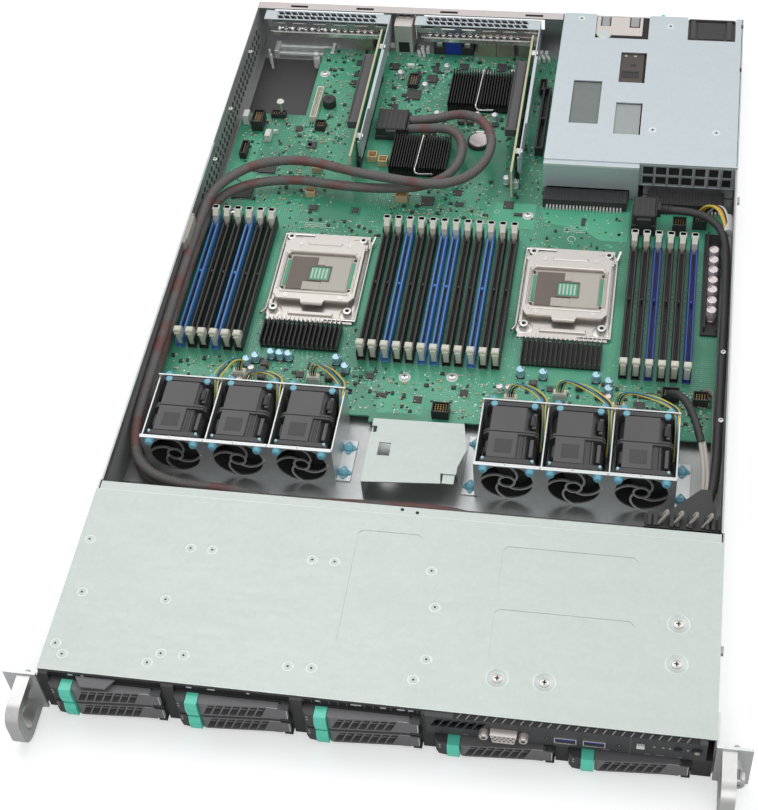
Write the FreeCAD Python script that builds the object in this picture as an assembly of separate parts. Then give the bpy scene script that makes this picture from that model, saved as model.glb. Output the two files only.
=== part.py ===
import FreeCAD, Part
import math
import os

# A one-unit rack server with its top cover off.
# X runs to the right seen from the front, Y to the rear, Z up.  While the parts are drawn,
# Y starts at the front edge of the cover and Z at the underside of the tray; save() then moves
# every part so that the middle of the whole depth is the origin.  All sizes are millimetres.

os.makedirs("parts", exist_ok=True)
V = FreeCAD.Vector

# Enclosure
body_width = 438.0
ear_reach = 22.3            # from the side wall to the ear's edge: 482.6 mm over the ears
body_depth = 712.0
body_height = 43.2          # one rack unit less the running room
sheet = 1.0                 # steel of the tray, the walls and the covers
loose = 0.3                 # gap between parts that only lie near each other
slide_gap = 0.4             # gap beside a part that slides out
stud_radius = 3.2           # rail studs on the side walls
stud_length = 3.0
first_stud = 77.0
stud_pitch = 426.0
stud_height = 21.6
hem_height = 6.0
hem_width = 1.2
standoff_flats = 5.0

# Front cover
cover_depth = 148.0
lip_depth = 7.5
dish_radius = 7.0
dish_depth = 0.7
panel_dent = 0.3

# Ears, handles and thumbscrews
ear_thickness = 2.0
ear_front = 5.0             # how far the flange stands in front of the cover edge
ear_arm = 22.0
handle_reach = 38.0
handle_width = 9.0
handle_bar = 8.0
handle_inset = 8.0          # from the side wall to the middle of the handle's bar
handle_low = 2.5
handle_high = 41.0
handle_bend = 12.0
screw_inset = 8.74          # from the ear's edge to the screw: 465.12 mm between rack holes
screw_height = 21.6
screw_radius = 2.5
screw_length = 12.0         # free thread behind the flange
screw_neck = 1.9            # the thinner shank that keeps the screw captive in the ear
screw_fit = 0.06
sleeve_radius = 4.3
sleeve_length = 3.5
knob_radius = 5.5
knob_length = 9.0
knob_sides = 14

# Drive bays
bay_columns = 5
full_columns = 3            # columns with two trays; the others have one under the front panel
bay_pitch = 85.0
bay_margin = 7.0            # from the left wall to the first tray
tray_width = 76.0
tray_height = 15.0
lower_tray = 4.5
upper_tray = 21.5
drive_width = 69.85
drive_length = 100.0
drive_thickness = 12.0
drive_front = 24.0
bezel_back = 2.0            # thickness of the tray's front plate
shoulder_width = 7.6
latch_width = 7.8
lever_depth = 9.6
lever_skin = 1.5
lever_pin_radius = 1.0
lever_notch = 1.1
lever_heel = 3.6            # from the tray's right edge to the lever's pin
lug = 1.2
lug_side = 2.0              # the lugs' reach to the left of the pin, inside the lever's swing
slot_columns = 7
slot_bar = 1.5               # the bar that splits the slots into two rows
slot_pitch = 5.6
slot_width = 4.4
slot_slant = 4.6
post_depth = 12.0
web = 1.2
ledge_reach = 2.6
ledge = 0.8
backplane_front = 131.0
board_thickness = 1.6

# Front panel with the ports and buttons
panel_overlap = 6.0         # the panel starts this far left of the fourth tray
panel_gap = 4.4             # from the panel to the right wall
panel_low = 21.6
panel_front = 4.0
panel_wall = 1.5
panel_plate = 2.0
port_board = 25.0
video_place = 88.0
video_width = 16.4
video_height = 8.4
nut_spacing = 25.0
usb_width = 14.0
usb_height = 6.6
usb_places = (126.5, 144.5)
button_travel = 1.2

# Main board
board_left = -213.0
board_right = 210.0
board_front = 261.5
board_nose = 256.0           # the board reaches further forward between the fan brackets
nose_left = -44.0
nose_right = 28.0
board_rear = 692.0
board_top = 8.0
supply_left = 62.0
supply_front = 513.0
sheet_cut_right = -157.0
sheet_cut_front = 597.0

# Memory slots
memory_setback = 54.25      # from the front edge of the board to the slots
memory_length = 142.0
memory_width = 6.4
memory_height = 9.8
memory_pitch = 9.5
memory_starts = (-204.0, -59.7, 141.0)
memory_counts = (6, 12, 6)
card_slot = 1.6
latch_notch = 10.5
latch_notch_width = 5.0
latch_thickness = 4.4
latch_pivot = 5.0
latch_pivot_height = 3.0

# Processor sockets
socket_places = (-107.5, 92.0)
socket_step = 12.25         # the sockets stand this far behind the middle of the slots
frame_width = 70.0
frame_length = 98.0
frame_sheet = 1.5
socket_width = 58.0
socket_length = 52.0
plate_width = 66.0
plate_window_width = 58.0
plate_window_length = 43.0
plate_height = 14.0
plate_hinge = 38.0
plate_front = 30.0
wire_radius = 1.1
wire_place = 36.5
wire_pivot = 46.0
wire_arm = 84.0

# Heat sinks: (left, right, front, rear, top)
heat_sinks = (
    (-141.0, -79.0, 322.0, 346.0, 16.0),
    (63.0, 124.0, 322.0, 346.0, 15.0),
    (-32.0, 21.5, 612.0, 660.0, 18.0),
    (-71.0, -22.5, 526.0, 568.5, 18.0),
)
fin_counts = (13, 13, 9, 8)
fin = 1.5

# Fans
fan_size = 40.0
fan_length = 56.0
fan_pitch = 47.5
fan_front = 202.0
fan_floor = 1.3
duct_radius = 19.3
duct_sides = 12             # round parts of the fans are drawn with flats
hub_sides = 8
shaft_sides = 8
first_fans = (-177.7, 66.7)
fans_per_bracket = 3
bracket_sheet = 1.2
bracket_gap = 0.8
bracket_top = 41.0
guard_opening = 36.0
guard_ring = 6.4
guard_wire = 1.7
guard_spokes = 4
hub_radius = 10.0
blade_reach = 17.5
blade_thickness = 1.1
blades = 4
blade_chord = 15.0
shaft_radius = 1.5
shaft_fit = 0.05

# Power supply and its cage
cage_front = 518.5
supply_width = 73.5
supply_depth = 185.0
supply_height = 39.0
supply_gap = 0.6
supply_handle_reach = 14.0
supply_handle_bar = 4.5
release_reach = 12.0

# Cards that carry the add-in slots: (card face, front, rear, arm left, arm right)
riser_cards = ((-100.4, 512.0, 682.0, -210.0), (35.7, 503.0, 682.0, -71.0))
riser_top = 40.0
riser_bottom = 12.0
riser_spacer = 3.6
riser_arm_front = 689.0
riser_arm_rear = 702.0
add_in_length = 92.0
add_in_front = 563.0
add_in_reach = 11.2
add_in_low = 25.5
add_in_high = 33.0

# Cables
signal_radius = 4.0
power_radius = 3.2
cable_sides = 4
post_sides = 8              # small round posts and wires are drawn with this many flats

# Worked out from the sizes above
half_body = body_width / 2
wall_inside = half_body - sheet
rack_width = body_width + 2 * ear_reach
handle_place = half_body + handle_inset
screw_place = rack_width / 2 - screw_inset
first_tray = bay_margin - wall_inside
panel_left = first_tray + full_columns * bay_pitch - panel_overlap
panel_right = wall_inside - panel_gap
memory_middle = board_front + memory_setback + memory_length / 2
socket_middle = memory_middle + socket_step
wall_top = body_height - sheet
deck = sheet
middle_depth = (body_depth + supply_handle_reach - handle_reach) / 2
upper_top = upper_tray + tray_height
fan_middle = fan_floor + fan_size / 2
board_low = board_top - board_thickness
supply_right_bay = wall_inside - supply_gap - supply_width


def box(x0, x1, y0, y1, z0, z1):
    """A block between two corners."""
    return Part.makeBox(x1 - x0, y1 - y0, z1 - z0, V(x0, y0, z0))


def prism(points, along):
    """A flat outline pushed along a vector."""
    corners = [V(*point) for point in points]
    outline = Part.makePolygon(corners + [corners[0]])
    return Part.Face(outline).extrude(V(*along))


def plan(points, z0, z1):
    """An outline seen from above, given a height."""
    return prism([(x, y, z0) for x, y in points], (0, 0, z1 - z0))


def side_view(points, x0, x1):
    """An outline in Y and Z, given a width."""
    return prism([(x0, y, z) for y, z in points], (x1 - x0, 0, 0))


def front_view(points, y0, y1):
    """An outline in X and Z, given a depth."""
    return prism([(x, y0, z) for x, z in points], (0, y1 - y0, 0))


def rod(start, radius, along):
    """A round bar from a point along a vector."""
    axis = V(*along)
    return Part.makeCylinder(radius, axis.Length, V(*start), axis)


def ring_points(centre, radius, axis, sides, turn=0.0):
    """A regular polygon round a point, at right angles to an axis, with its corners on the radius."""
    across = axis.cross(V(0, 0, 1))
    if across.Length < 1e-6:
        across = V(1, 0, 0)
    across.normalize()
    other = axis.cross(across)
    other.normalize()
    corners = []
    for i in range(sides):
        angle = math.radians(turn) + 2 * math.pi * i / sides
        corners.append(centre + across * (radius * math.cos(angle)) + other * (radius * math.sin(angle)))
    return Part.makePolygon(corners + [corners[0]])


def polygon_bar(start, radius, along, sides, turn=0.0):
    """A bar whose section is a regular polygon with its corners on the radius."""
    return Part.Face(ring_points(V(*start), radius, V(*along), sides, turn)).extrude(V(*along))


def join(shapes):
    """One solid from pieces that meet."""
    if len(shapes) == 1:
        return shapes[0]
    return shapes[0].multiFuse(shapes[1:]).removeSplitter()


def opened(shape, tools):
    """A shape less its holes."""
    return shape.cut(Part.makeCompound(tools)).removeSplitter()


def mirrored(shape):
    """The same piece for the other side of the body."""
    return shape.mirror(V(0, 0, 0), V(1, 0, 0))


def save(name, solids):
    """Write one part, moved from the drawing's origin to the middle of the whole depth."""
    node = Part.makeCompound(solids)
    node.translate(V(0, -middle_depth, 0))
    node.exportStep("parts/" + name + ".step")
    print(name, len(solids))


def tray_left(column):
    return first_tray + column * bay_pitch


def slanted_slot(x, low, high, y0, y1, width=slot_width, slant=slot_slant):
    """A hole with leaning ends, as in the drive levers and the panel grille."""
    return front_view([(x, low), (x + width, low), (x + width + slant, high), (x + slant, high)], y0, y1)


def cable(points, radius):
    """A cable of straight runs joined by tangent arcs, with a flat-sided section.

    Each arc is as large as its two runs allow: 0.45 of the shorter run over the tangent of
    half the turn.
    """
    route = [V(*point) for point in points]
    here = route[0]
    heading = (route[1] - route[0]).normalize()
    section = ring_points(here, radius, heading, cable_sides)
    skin = [Part.Face(section)]
    tightest = 1e9
    for before, corner, after in zip(route, route[1:], route[2:]):
        arriving = corner - before
        leaving = after - corner
        turn = arriving.getAngle(leaving)
        back = 0.45 * min(arriving.Length, leaving.Length)
        bend = back / math.tan(turn / 2)
        tightest = min(tightest, bend)
        start = corner - V(arriving).normalize() * back
        run = start - here
        skin += section.extrude(run).Faces
        section = section.translated(run)
        axis = arriving.cross(leaving).normalize()
        centre = start + axis.cross(arriving).normalize() * bend
        degrees = math.degrees(turn)
        skin += section.revolve(centre, axis, degrees).Faces
        section = section.rotated(centre, axis, degrees)
        here = corner + V(leaving).normalize() * back
    run = route[-1] - here
    skin += section.extrude(run).Faces
    section = section.translated(run)
    skin.append(Part.Face(section))
    shell = Part.Shell(skin)
    shell.sewShape()
    solid = Part.Solid(shell)
    if solid.Volume < 0:
        solid.reverse()
    print("cable bend radius at least", round(tightest, 1))
    return solid


def rounded(shape, radius, chosen):
    """A shape with some of its edges rounded."""
    return shape.makeFillet(radius, [edge for edge in shape.Edges if chosen(edge)])


def runs_along(edge, axis):
    return abs(edge.tangentAt(edge.FirstParameter).dot(axis)) > 0.999


def hex_post(x, y, z0, z1, flats=standoff_flats):
    """An upright six-sided post."""
    return polygon_bar((x, y, z0), flats / math.sqrt(3), (0, 0, z1 - z0), 6)


# Rear connectors on the main board: (left, right, top, recess for a plug)
rear_ports = (
    (-127.0, -111.0, 21.5, True),
    (-90.0, -74.0, 38.0, False),
    (-55.0, -18.6, 20.5, False),
    (-14.0, 2.0, 21.5, True),
    (2.6, 18.6, 21.5, True),
    (23.0, 39.0, 21.5, True),
)
port_front = 690.0
jack_width = 11.8
jack_height = 8.6
jack_depth = 13.0
jack_sill = 2.4
card_windows = ((-205.0, -103.0), (-66.0, 44.0))
card_window_low = 24.0
card_window_high = 39.5
flange_slots = (-180.0, -119.0, -42.0, 35.0)
flange_front = 703.0
vent_first = -204.0
vent_pitch = 10.0
vents = 6
standoffs = (
    (-200.0, 270.0), (-10.0, 300.0), (200.0, 270.0), (-206.0, 500.0), (46.0, 510.0), (200.0, 490.0),
    (-150.0, 640.0), (54.0, 660.0),
)
bead_front = 186.0
bead_rear = 190.0
bead_height = 0.8


def chassis_base():
    """The tray: floor, side walls with a hem and rail studs, rear wall, board standoffs."""
    floor = box(-half_body, half_body, 0, body_depth, 0, sheet)
    wall = box(wall_inside, half_body, 0, body_depth, 0, wall_top)
    hem_front = cover_depth + lip_depth + 1
    hem = box(wall_inside - hem_width, wall_inside, hem_front, cage_front - 1, wall_top - hem_height, wall_top)
    right = [wall, hem]
    for i in range(2):
        y = first_stud + i * stud_pitch
        right.append(rod((half_body, y, stud_height), stud_radius, (stud_length, 0, 0)))
    bead = box(-wall_inside, wall_inside, bead_front, bead_rear, deck, deck + bead_height)
    rear = box(-wall_inside, supply_left, body_depth - sheet, body_depth, deck, wall_top)
    flange = box(-wall_inside, supply_left - 1, flange_front, body_depth, wall_top - sheet, wall_top)
    posts = [hex_post(x, y, deck, board_low) for x, y in standoffs]
    holes = []
    for left, right_edge, top, _ in rear_ports:
        holes.append(box(left - loose, right_edge + loose, body_depth - 2, body_depth + 1,
                         board_top - loose, top + loose))
    for left, right_edge in card_windows:
        holes.append(box(left, right_edge, body_depth - 2, body_depth + 1, card_window_low, card_window_high))
    for i in range(vents):
        x = vent_first + i * vent_pitch
        holes.append(box(x, x + vent_pitch / 2, body_depth - 2, body_depth + 1, board_top, 20))
    for x in flange_slots:
        holes.append(box(x - 8, x + 8, flange_front + 2.5, flange_front + 5.5, wall_top - 2, wall_top + 1))
    back = opened(join([rear, flange]), holes)
    return join([floor, bead, back] + right + [mirrored(piece) for piece in right] + posts)


cover_dents = (
    (-27.0, 17.5, 41.0, 132.5),
    (73.0, 163.3, 89.3, 129.5),
    (72.7, 163.6, 39.6, 79.3),
)
cover_dishes = ((191.8, 81.0), (191.9, 51.0), (80.2, 27.6), (110.2, 28.0))
dent_corner = 3.0


def front_cover():
    """The fixed cover over the drive bays, with dented panels, screw dishes and a rear lip."""
    plate = box(-half_body, half_body, 0, cover_depth, wall_top, body_height)
    lip = box(-wall_inside + 1, wall_inside - 1, cover_depth - 2, cover_depth + lip_depth,
              wall_top - sheet, wall_top)
    tools = []
    for x0, x1, y0, y1 in cover_dents:
        outline = [
            (x0 + dent_corner, y0), (x1 - dent_corner, y0), (x1, y0 + dent_corner), (x1, y1 - dent_corner),
            (x1 - dent_corner, y1), (x0 + dent_corner, y1), (x0, y1 - dent_corner), (x0, y0 + dent_corner),
        ]
        tools.append(plan(outline, body_height - panel_dent, body_height + 1))
    for x, y in cover_dishes:
        rings = []
        for radius, z in ((dish_radius / 2, body_height - dish_depth), (dish_radius, body_height)):
            rings.append(Part.Wire(ring_points(V(x, y, z), radius, V(0, 0, 1), 12)))
        tools.append(Part.makeLoft(rings, True, True))
    return join([opened(plate, tools), lip])


def rack_ear():
    """The right ear: flange across the rack post, arm along the wall, thumbscrew sleeve."""
    flange = box(half_body, rack_width / 2, -ear_front, ear_thickness - ear_front, 0.5, body_height - 0.5)
    arm = box(half_body, half_body + ear_thickness, -ear_front, ear_arm, 4, body_height - 4)
    sleeve_start = (screw_place, -ear_front, screw_height)
    sleeve = polygon_bar(sleeve_start, sleeve_radius, (0, -sleeve_length, 0), 12)
    bore_start = (screw_place, -ear_front - sleeve_length - 1, screw_height)
    bore_radius = screw_neck / math.cos(math.pi / post_sides) + screw_fit
    bore = polygon_bar(bore_start, bore_radius, (0, ear_thickness + sleeve_length + 2, 0), post_sides)
    return opened(join([flange, arm, sleeve]), [bore])


def rack_handle():
    """The right pull handle: a bar bent into a D that stands on the ear's flange."""
    x0 = handle_place - handle_width / 2
    x1 = handle_place + handle_width / 2
    outer = box(x0, x1, -handle_reach, -ear_front, handle_low, handle_high)
    outer = rounded(outer, handle_bend,
                    lambda edge: runs_along(edge, V(1, 0, 0)) and edge.CenterOfMass.y < -handle_reach + 1)
    grip = box(x0 - 1, x1 + 1, handle_bar - handle_reach, 1, handle_low + handle_bar, handle_high - handle_bar)
    grip = rounded(grip, handle_bend - handle_bar,
                   lambda edge: runs_along(edge, V(1, 0, 0)) and edge.CenterOfMass.y < -ear_front)
    return outer.cut(grip)


def thumbscrew():
    """The right captive screw: knob, a neck through the ear and a thread behind it."""
    knob_back = -ear_front - sleeve_length - loose
    knob = polygon_bar((screw_place, knob_back, screw_height), knob_radius, (0, -knob_length, 0), knob_sides)
    neck_length = sleeve_length + ear_thickness + 2 * loose
    neck = polygon_bar((screw_place, knob_back, screw_height), screw_neck, (0, neck_length, 0), post_sides)
    thread = rod((screw_place, knob_back + neck_length, screw_height), screw_radius, (0, screw_length, 0))
    return join([knob, neck, thread])


tag_left = -193.0
tag_right = -166.0
tag_low = 39.2
tag_thickness = 1.2
tag_reach = 8.5
tag_length = 48.0


def asset_tag():
    """The flat pull-out tab above the first bay."""
    taper = 5.0
    neck = 2.0
    outline = [
        (tag_left, 3), (tag_left, -1.4), (tag_left + taper, -tag_reach), (tag_right - taper, -tag_reach),
        (tag_right, -1.4), (tag_right, 3), (tag_right - neck, 3), (tag_right - neck, tag_length),
        (tag_left + neck, tag_length), (tag_left + neck, 3),
    ]
    return plan(outline, tag_low, tag_low + tag_thickness)


bar_slots = 4
bar_slot_pitch = 16.5
bar_slot_width = 11.0


def bay_frame():
    """The black frame of the bays: posts, sill, webs with ledges, and the vented top bar."""
    pieces = [box(-wall_inside, wall_inside, 0.4, 6, deck, lower_tray - slide_gap)]
    for i in range(bay_columns + 1):
        left = -wall_inside if i == 0 else tray_left(i - 1) + tray_width + slide_gap
        right = wall_inside if i == bay_columns else tray_left(i) - slide_gap
        top = wall_top if i <= full_columns else panel_low
        if i == full_columns:
            pieces.append(box(left, panel_left, -3, post_depth, deck, wall_top))
            top = panel_low
        pieces.append(box(left, right, -3, post_depth, deck, top))
        middle = (left + right) / 2
        if i == 0:
            middle = left + web / 2
        if i == bay_columns:
            middle = right - web / 2
        tiers = [lower_tray, upper_tray] if i <= full_columns else [lower_tray]
        web_top = upper_top if i <= full_columns else lower_tray + tray_height
        pieces.append(box(middle - web / 2, middle + web / 2, post_depth, backplane_front, deck, web_top))
        for tier in tiers:
            reach_left = middle - web / 2 if i == 0 else left - slide_gap - ledge_reach
            reach_right = middle + web / 2 if i == bay_columns else right + slide_gap + ledge_reach
            if tier == upper_tray and i == full_columns:
                reach_right = middle + web / 2
            base = tier - slide_gap
            pieces.append(box(reach_left, reach_right, post_depth, backplane_front, base - ledge, base))
    bar = box(-wall_inside, panel_left, -1, 2, upper_top + slide_gap, wall_top)
    cuts = [box(tag_left - slide_gap, tag_right + slide_gap, -2, 4,
                tag_low - slide_gap, tag_low + tag_thickness + slide_gap)]
    for column in range(full_columns):
        for i in range(bar_slots):
            x = tray_left(column) + 5 + i * bar_slot_pitch
            if column == 0 and tag_left - 8 < x < tag_right + 1:
                continue
            cuts.append(slanted_slot(x, upper_top + 1.6, wall_top - 1.2, -2, 4, bar_slot_width))
    return join(pieces + [opened(bar, cuts)])


def drive_tray(x, z):
    """One drive tray at its left lower corner: the tray itself, the drive and the release button."""
    right = x + tray_width
    top = z + tray_height
    lever_left = x + shoulder_width + latch_width + 0.9
    rail = (tray_width - drive_width) / 2
    rail_end = drive_front + drive_length - 2
    outline = [
        (x, rail_end), (x, -6.4), (x + 2.4, -9.0), (x + shoulder_width, -lever_depth), (x + shoulder_width, -bezel_back),
        (right, -bezel_back), (right, rail_end), (right - rail, rail_end), (right - rail, 0), (x + rail, 0),
        (x + rail, rail_end),
    ]
    window = box(lever_left + 2, right - 14, -bezel_back - 1, 1, z + 2.5, top - 2.5)
    pin_x = right - lever_heel
    pin_y = lever_pin_y()
    lugs = [box(pin_x - lug_side, right, pin_y - 2.4, -bezel_back, low, low + lug) for low in (z, top - lug)]
    pin = polygon_bar((pin_x, pin_y, z + lug), lever_pin_radius, (0, 0, tray_height - 2 * lug), post_sides)
    body = join([opened(plan(outline, z, top), [window])] + lugs + [pin])
    drive = box(x + rail, right - rail, drive_front, drive_front + drive_length, z + 1.4, z + 1.4 + drive_thickness)
    latch_left = x + shoulder_width + 0.4
    latch = side_view([
        (-bezel_back, z + 0.6), (-lever_depth - 0.8, z + 0.6), (-lever_depth - 1.6, z + 8),
        (-lever_depth - 0.4, top - 0.6), (-bezel_back, top - 0.6),
    ], latch_left, latch_left + latch_width)
    return [body, drive, latch]


def lever_pin_y():
    """The drive lever's pin stands just in front of the tray's plate."""
    return -bezel_back - 2.9


def tray_lever(x, z):
    """The pull lever of one tray: a hollow wedge with slanted air slots, an open hook and a cross bar."""
    right = x + tray_width
    low = z + 0.4
    high = z + tray_height - 0.4
    left = x + shoulder_width + latch_width + 0.9
    back = -bezel_back - 0.4
    pin_x = right - lever_heel
    pin_y = lever_pin_y()
    grille_end = right - 14
    thin = pin_y - 2.0
    wedge = plan([
        (left, back), (left, -lever_depth + 0.7), (left + 2.2, -lever_depth),
        (grille_end, thin), (pin_x - 3.4, thin), (pin_x - 3.4, back),
    ], low, high)
    heel = plan([
        (pin_x - 3.4, back), (pin_x - 3.4, thin), (pin_x + 2.2, thin), (pin_x + 2.2, pin_y + 0.5),
        (pin_x + 0.8, back - 0.6), (pin_x - 2.6, back - 0.6),
    ], z + lug + loose, z + tray_height - lug - loose)
    hollow = plan([
        (left + lever_skin, 0), (left + lever_skin, -lever_depth + lever_skin + 0.4),
        (grille_end, thin + lever_skin), (grille_end, 0),
    ], low + lever_skin, high - lever_skin)
    hook = box(pin_x - lever_notch, pin_x + lever_notch, pin_y - lever_notch, 0, z, z + tray_height)
    slots = []
    bottom = low + lever_skin
    top = high - lever_skin
    for i in range(slot_columns):
        start = left + lever_skin + 1.0 + i * slot_pitch
        slots.append(slanted_slot(start, bottom, top, -lever_depth - 3, 0))
    middle = (bottom + top) / 2
    lean = (thin + lever_depth - 0.4) / (grille_end - left - lever_skin)
    start = -lever_depth + lever_skin + 0.4
    cross_bar = plan([
        (left + lever_skin, start), (grille_end, start + lean * (grille_end - left - lever_skin)),
        (grille_end, start + 1 + lean * (grille_end - left - lever_skin)), (left + lever_skin, start + 1),
    ], middle - slot_bar / 2, middle + slot_bar / 2)
    return [opened(join([wedge, heel]), [hollow, hook] + slots), cross_bar]


def d_outline(x, z, width, height, taper):
    """The tapered outline of a video connector."""
    return [
        (x - width / 2 + taper, z - height / 2), (x + width / 2 - taper, z - height / 2),
        (x + width / 2, z + height / 2), (x - width / 2, z + height / 2),
    ]


# Buttons in the front panel: (name, middle, width, height)
panel_buttons = (("id_button", 173.0, 5.0, 3.6), ("reset_button", 196.0, 4.0, 2.4), ("power_button", 207.6, 5.6, 4.6))
button_height = 33.5
grille_first = 41.0
grille_slots = 6
grille_pitch = 5.4


def front_panel():
    """The panel over the two right bays, with its port shells and the small board that carries them."""
    front = -panel_front
    shell = box(panel_left, panel_right, front, post_depth, panel_low, wall_top)
    hollow = box(panel_left + panel_wall, panel_right - panel_wall, front + panel_plate, post_depth + 1,
                 panel_low + panel_wall, wall_top - panel_wall)
    port_floor = port_board + board_thickness
    usb_middle = port_floor + usb_height / 2
    video_middle = port_floor + video_height / 2
    holes = [hollow]
    for i in range(grille_slots):
        holes.append(slanted_slot(grille_first + i * grille_pitch, 30.5, 39.7, front - 1, front + 3))
    grown = d_outline(video_place, video_middle, video_width + 2 * loose, video_height + 2 * loose, 1.0)
    holes.append(front_view(grown, front - 1, front + 3))
    for x in usb_places:
        holes.append(box(x - usb_width / 2 - loose, x + usb_width / 2 + loose, front - 1, front + 3,
                         port_floor - loose, port_floor + usb_height + loose))
    for _, x, width, height in panel_buttons:
        holes.append(box(x - width / 2 - loose, x + width / 2 + loose, front - 1, front + 3,
                         button_height - height / 2 - loose, button_height + height / 2 + loose))
    panel = opened(shell, holes)
    board = box(panel_left + 12, panel_right - 20, front + panel_plate, post_depth, port_board, port_floor)
    cross_bar = box(grille_first, grille_first + grille_slots * grille_pitch + slot_slant, front + panel_plate,
                    front + panel_plate + 1, 34.6, 35.6)
    ribs = [box(x, x + 2, front + panel_plate, post_depth, panel_low + panel_wall, port_board) for x in (104, 180)]
    video = front_view(d_outline(video_place, video_middle, video_width, video_height, 1.0), front - 5, 9)
    video_hollow = front_view(d_outline(video_place, video_middle, video_width - 1, video_height - 1, 1.0),
                              front - 6, front + 1)
    shells = [opened(video, [video_hollow])]
    for x in usb_places:
        usb = box(x - usb_width / 2, x + usb_width / 2, front - 0.6, 10, port_floor, port_floor + usb_height)
        inside = box(x - usb_width / 2 + 0.4, x + usb_width / 2 - 0.4, front - 1, 6,
                     port_floor + 0.4, port_floor + usb_height - 0.4)
        tongue = box(x - 5.5, x + 5.5, front + 0.5, 6, usb_middle - 0.2, usb_middle + 1.7)
        shells.append(usb.cut(inside).fuse(tongue).removeSplitter())
    for nut_side in (-1, 1):
        x = video_place + nut_side * nut_spacing / 2
        shells.append(polygon_bar((x, front, video_middle), 2.9, (0, -5, 0), 6))
    return [join([panel] + ribs), cross_bar, board] + shells


def panel_button(x, width, height):
    """A push button with a flange behind the panel's plate that keeps it in."""
    plate_back = panel_plate - panel_front
    low = button_height - height / 2
    cap = box(x - width / 2, x + width / 2, -panel_front - 1.6, plate_back + 1.6, low, low + height)
    flange = box(x - width / 2 - 0.7, x + width / 2 + 0.7, plate_back + loose, plate_back + 1.6,
                 low - 0.7, low + height + 0.7)
    return join([cap, flange])


def backplane():
    """The upright board behind the drives, its drive connectors and its rear sockets."""
    rear = backplane_front + board_thickness
    board = box(-wall_inside + 4, wall_inside - 4, backplane_front, rear, deck + 1, upper_top + 1)
    windows = []
    pieces = []
    for column in range(bay_columns):
        x = tray_left(column)
        windows.append(box(x + 50, x + 72, backplane_front - 1, rear + 1, 8, 34))
        tiers = (lower_tray, upper_tray) if column < full_columns else (lower_tray,)
        for tier in tiers:
            pieces.append(box(x + 8, x + 44, drive_front + drive_length + 0.6, backplane_front, tier + 2, tier + 8))
    sockets = [box(x - 9, x + 9, rear, cable_end, 9, 27) for x in (signal_ends[0], signal_ends[1], power_end)]
    return [opened(board, windows)] + pieces + sockets


signal_ends = (-92.0, 70.0)
power_end = 188.0
cable_end = 142.0


def motherboard():
    """The main board, cut back for the slot card at the left and the supplies at the right."""
    return plan([
        (board_left, board_front), (nose_left, board_front), (nose_left, board_nose), (nose_right, board_nose),
        (nose_right, board_front), (board_right, board_front), (board_right, supply_front - 1),
        (supply_left - 1, supply_front - 1), (supply_left - 1, board_rear), (sheet_cut_right, board_rear),
        (sheet_cut_right, sheet_cut_front), (board_left, sheet_cut_front),
    ], board_low, board_top)


def memory_places():
    """The middle of every memory slot, from left to right."""
    return [start + i * memory_pitch for start, count in zip(memory_starts, memory_counts) for i in range(count)]


def memory_slot(x):
    """One slot: a long bar, notched at both ends for the latches, with the card groove."""
    half = memory_width / 2
    notch = latch_notch_width / 2
    front = memory_middle - memory_length / 2
    rear = memory_middle + memory_length / 2
    outline = [
        (x - half, front), (x - notch, front), (x - notch, front + latch_notch), (x + notch, front + latch_notch),
        (x + notch, front), (x + half, front), (x + half, rear), (x + notch, rear),
        (x + notch, rear - latch_notch), (x - notch, rear - latch_notch), (x - notch, rear), (x - half, rear),
    ]
    bar = plan(outline, board_top, board_top + memory_height)
    groove = box(x - card_slot / 2, x + card_slot / 2, front, rear,
                 board_top + memory_height - 5, board_top + memory_height + 1)
    return bar.cut(groove)


def memory_latch(x, end):
    """One latch in its notch, drawn for the front end (-1) and turned round for the rear end (1)."""
    pivot_y = memory_middle + end * (memory_length / 2 - latch_pivot)
    pivot_z = board_top + latch_pivot_height
    outline = [(-2.2, -1.8), (4.2, -1.8), (3.6, 12.0), (-1.0, 17.0), (-4.5, 17.0)]
    points = [(pivot_y - end * y, pivot_z + z) for y, z in outline]
    return side_view(points, x - latch_thickness / 2, x + latch_thickness / 2)


def socket_frame(x):
    """One processor socket: the plastic socket and the steel frame with four corner screws."""
    y = socket_middle
    frame_top = board_top + frame_sheet
    outer = box(x - frame_width / 2, x + frame_width / 2, y - frame_length / 2, y + frame_length / 2,
                board_top, frame_top)
    middle = box(x - socket_width / 2, x + socket_width / 2, y - socket_length / 2, y + socket_length / 2,
                 board_top - 1, frame_top + 1)
    posts = []
    for along in (-1, 1):
        for across in (-1, 1):
            posts.append(hex_post(x + across * (frame_width / 2 - 5), y + along * (frame_length / 2 - 9.5),
                                  board_top, plate_height - loose, 7.0))
    frame = join([outer.cut(middle)] + posts)
    half_width = socket_width / 2 - loose
    half_length = socket_length / 2 - loose
    base = box(x - half_width, x + half_width, y - half_length, y + half_length, board_top, plate_height - loose)
    seat = box(x - 26.5, x + 26.5, y - 21, y + 21, board_top + 3, plate_height)
    well = box(x - 8.5, x + 8.5, y - 8.5, y + 8.5, board_top + 1.5, plate_height)
    return [frame, base.cut(seat).cut(well)]


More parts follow.
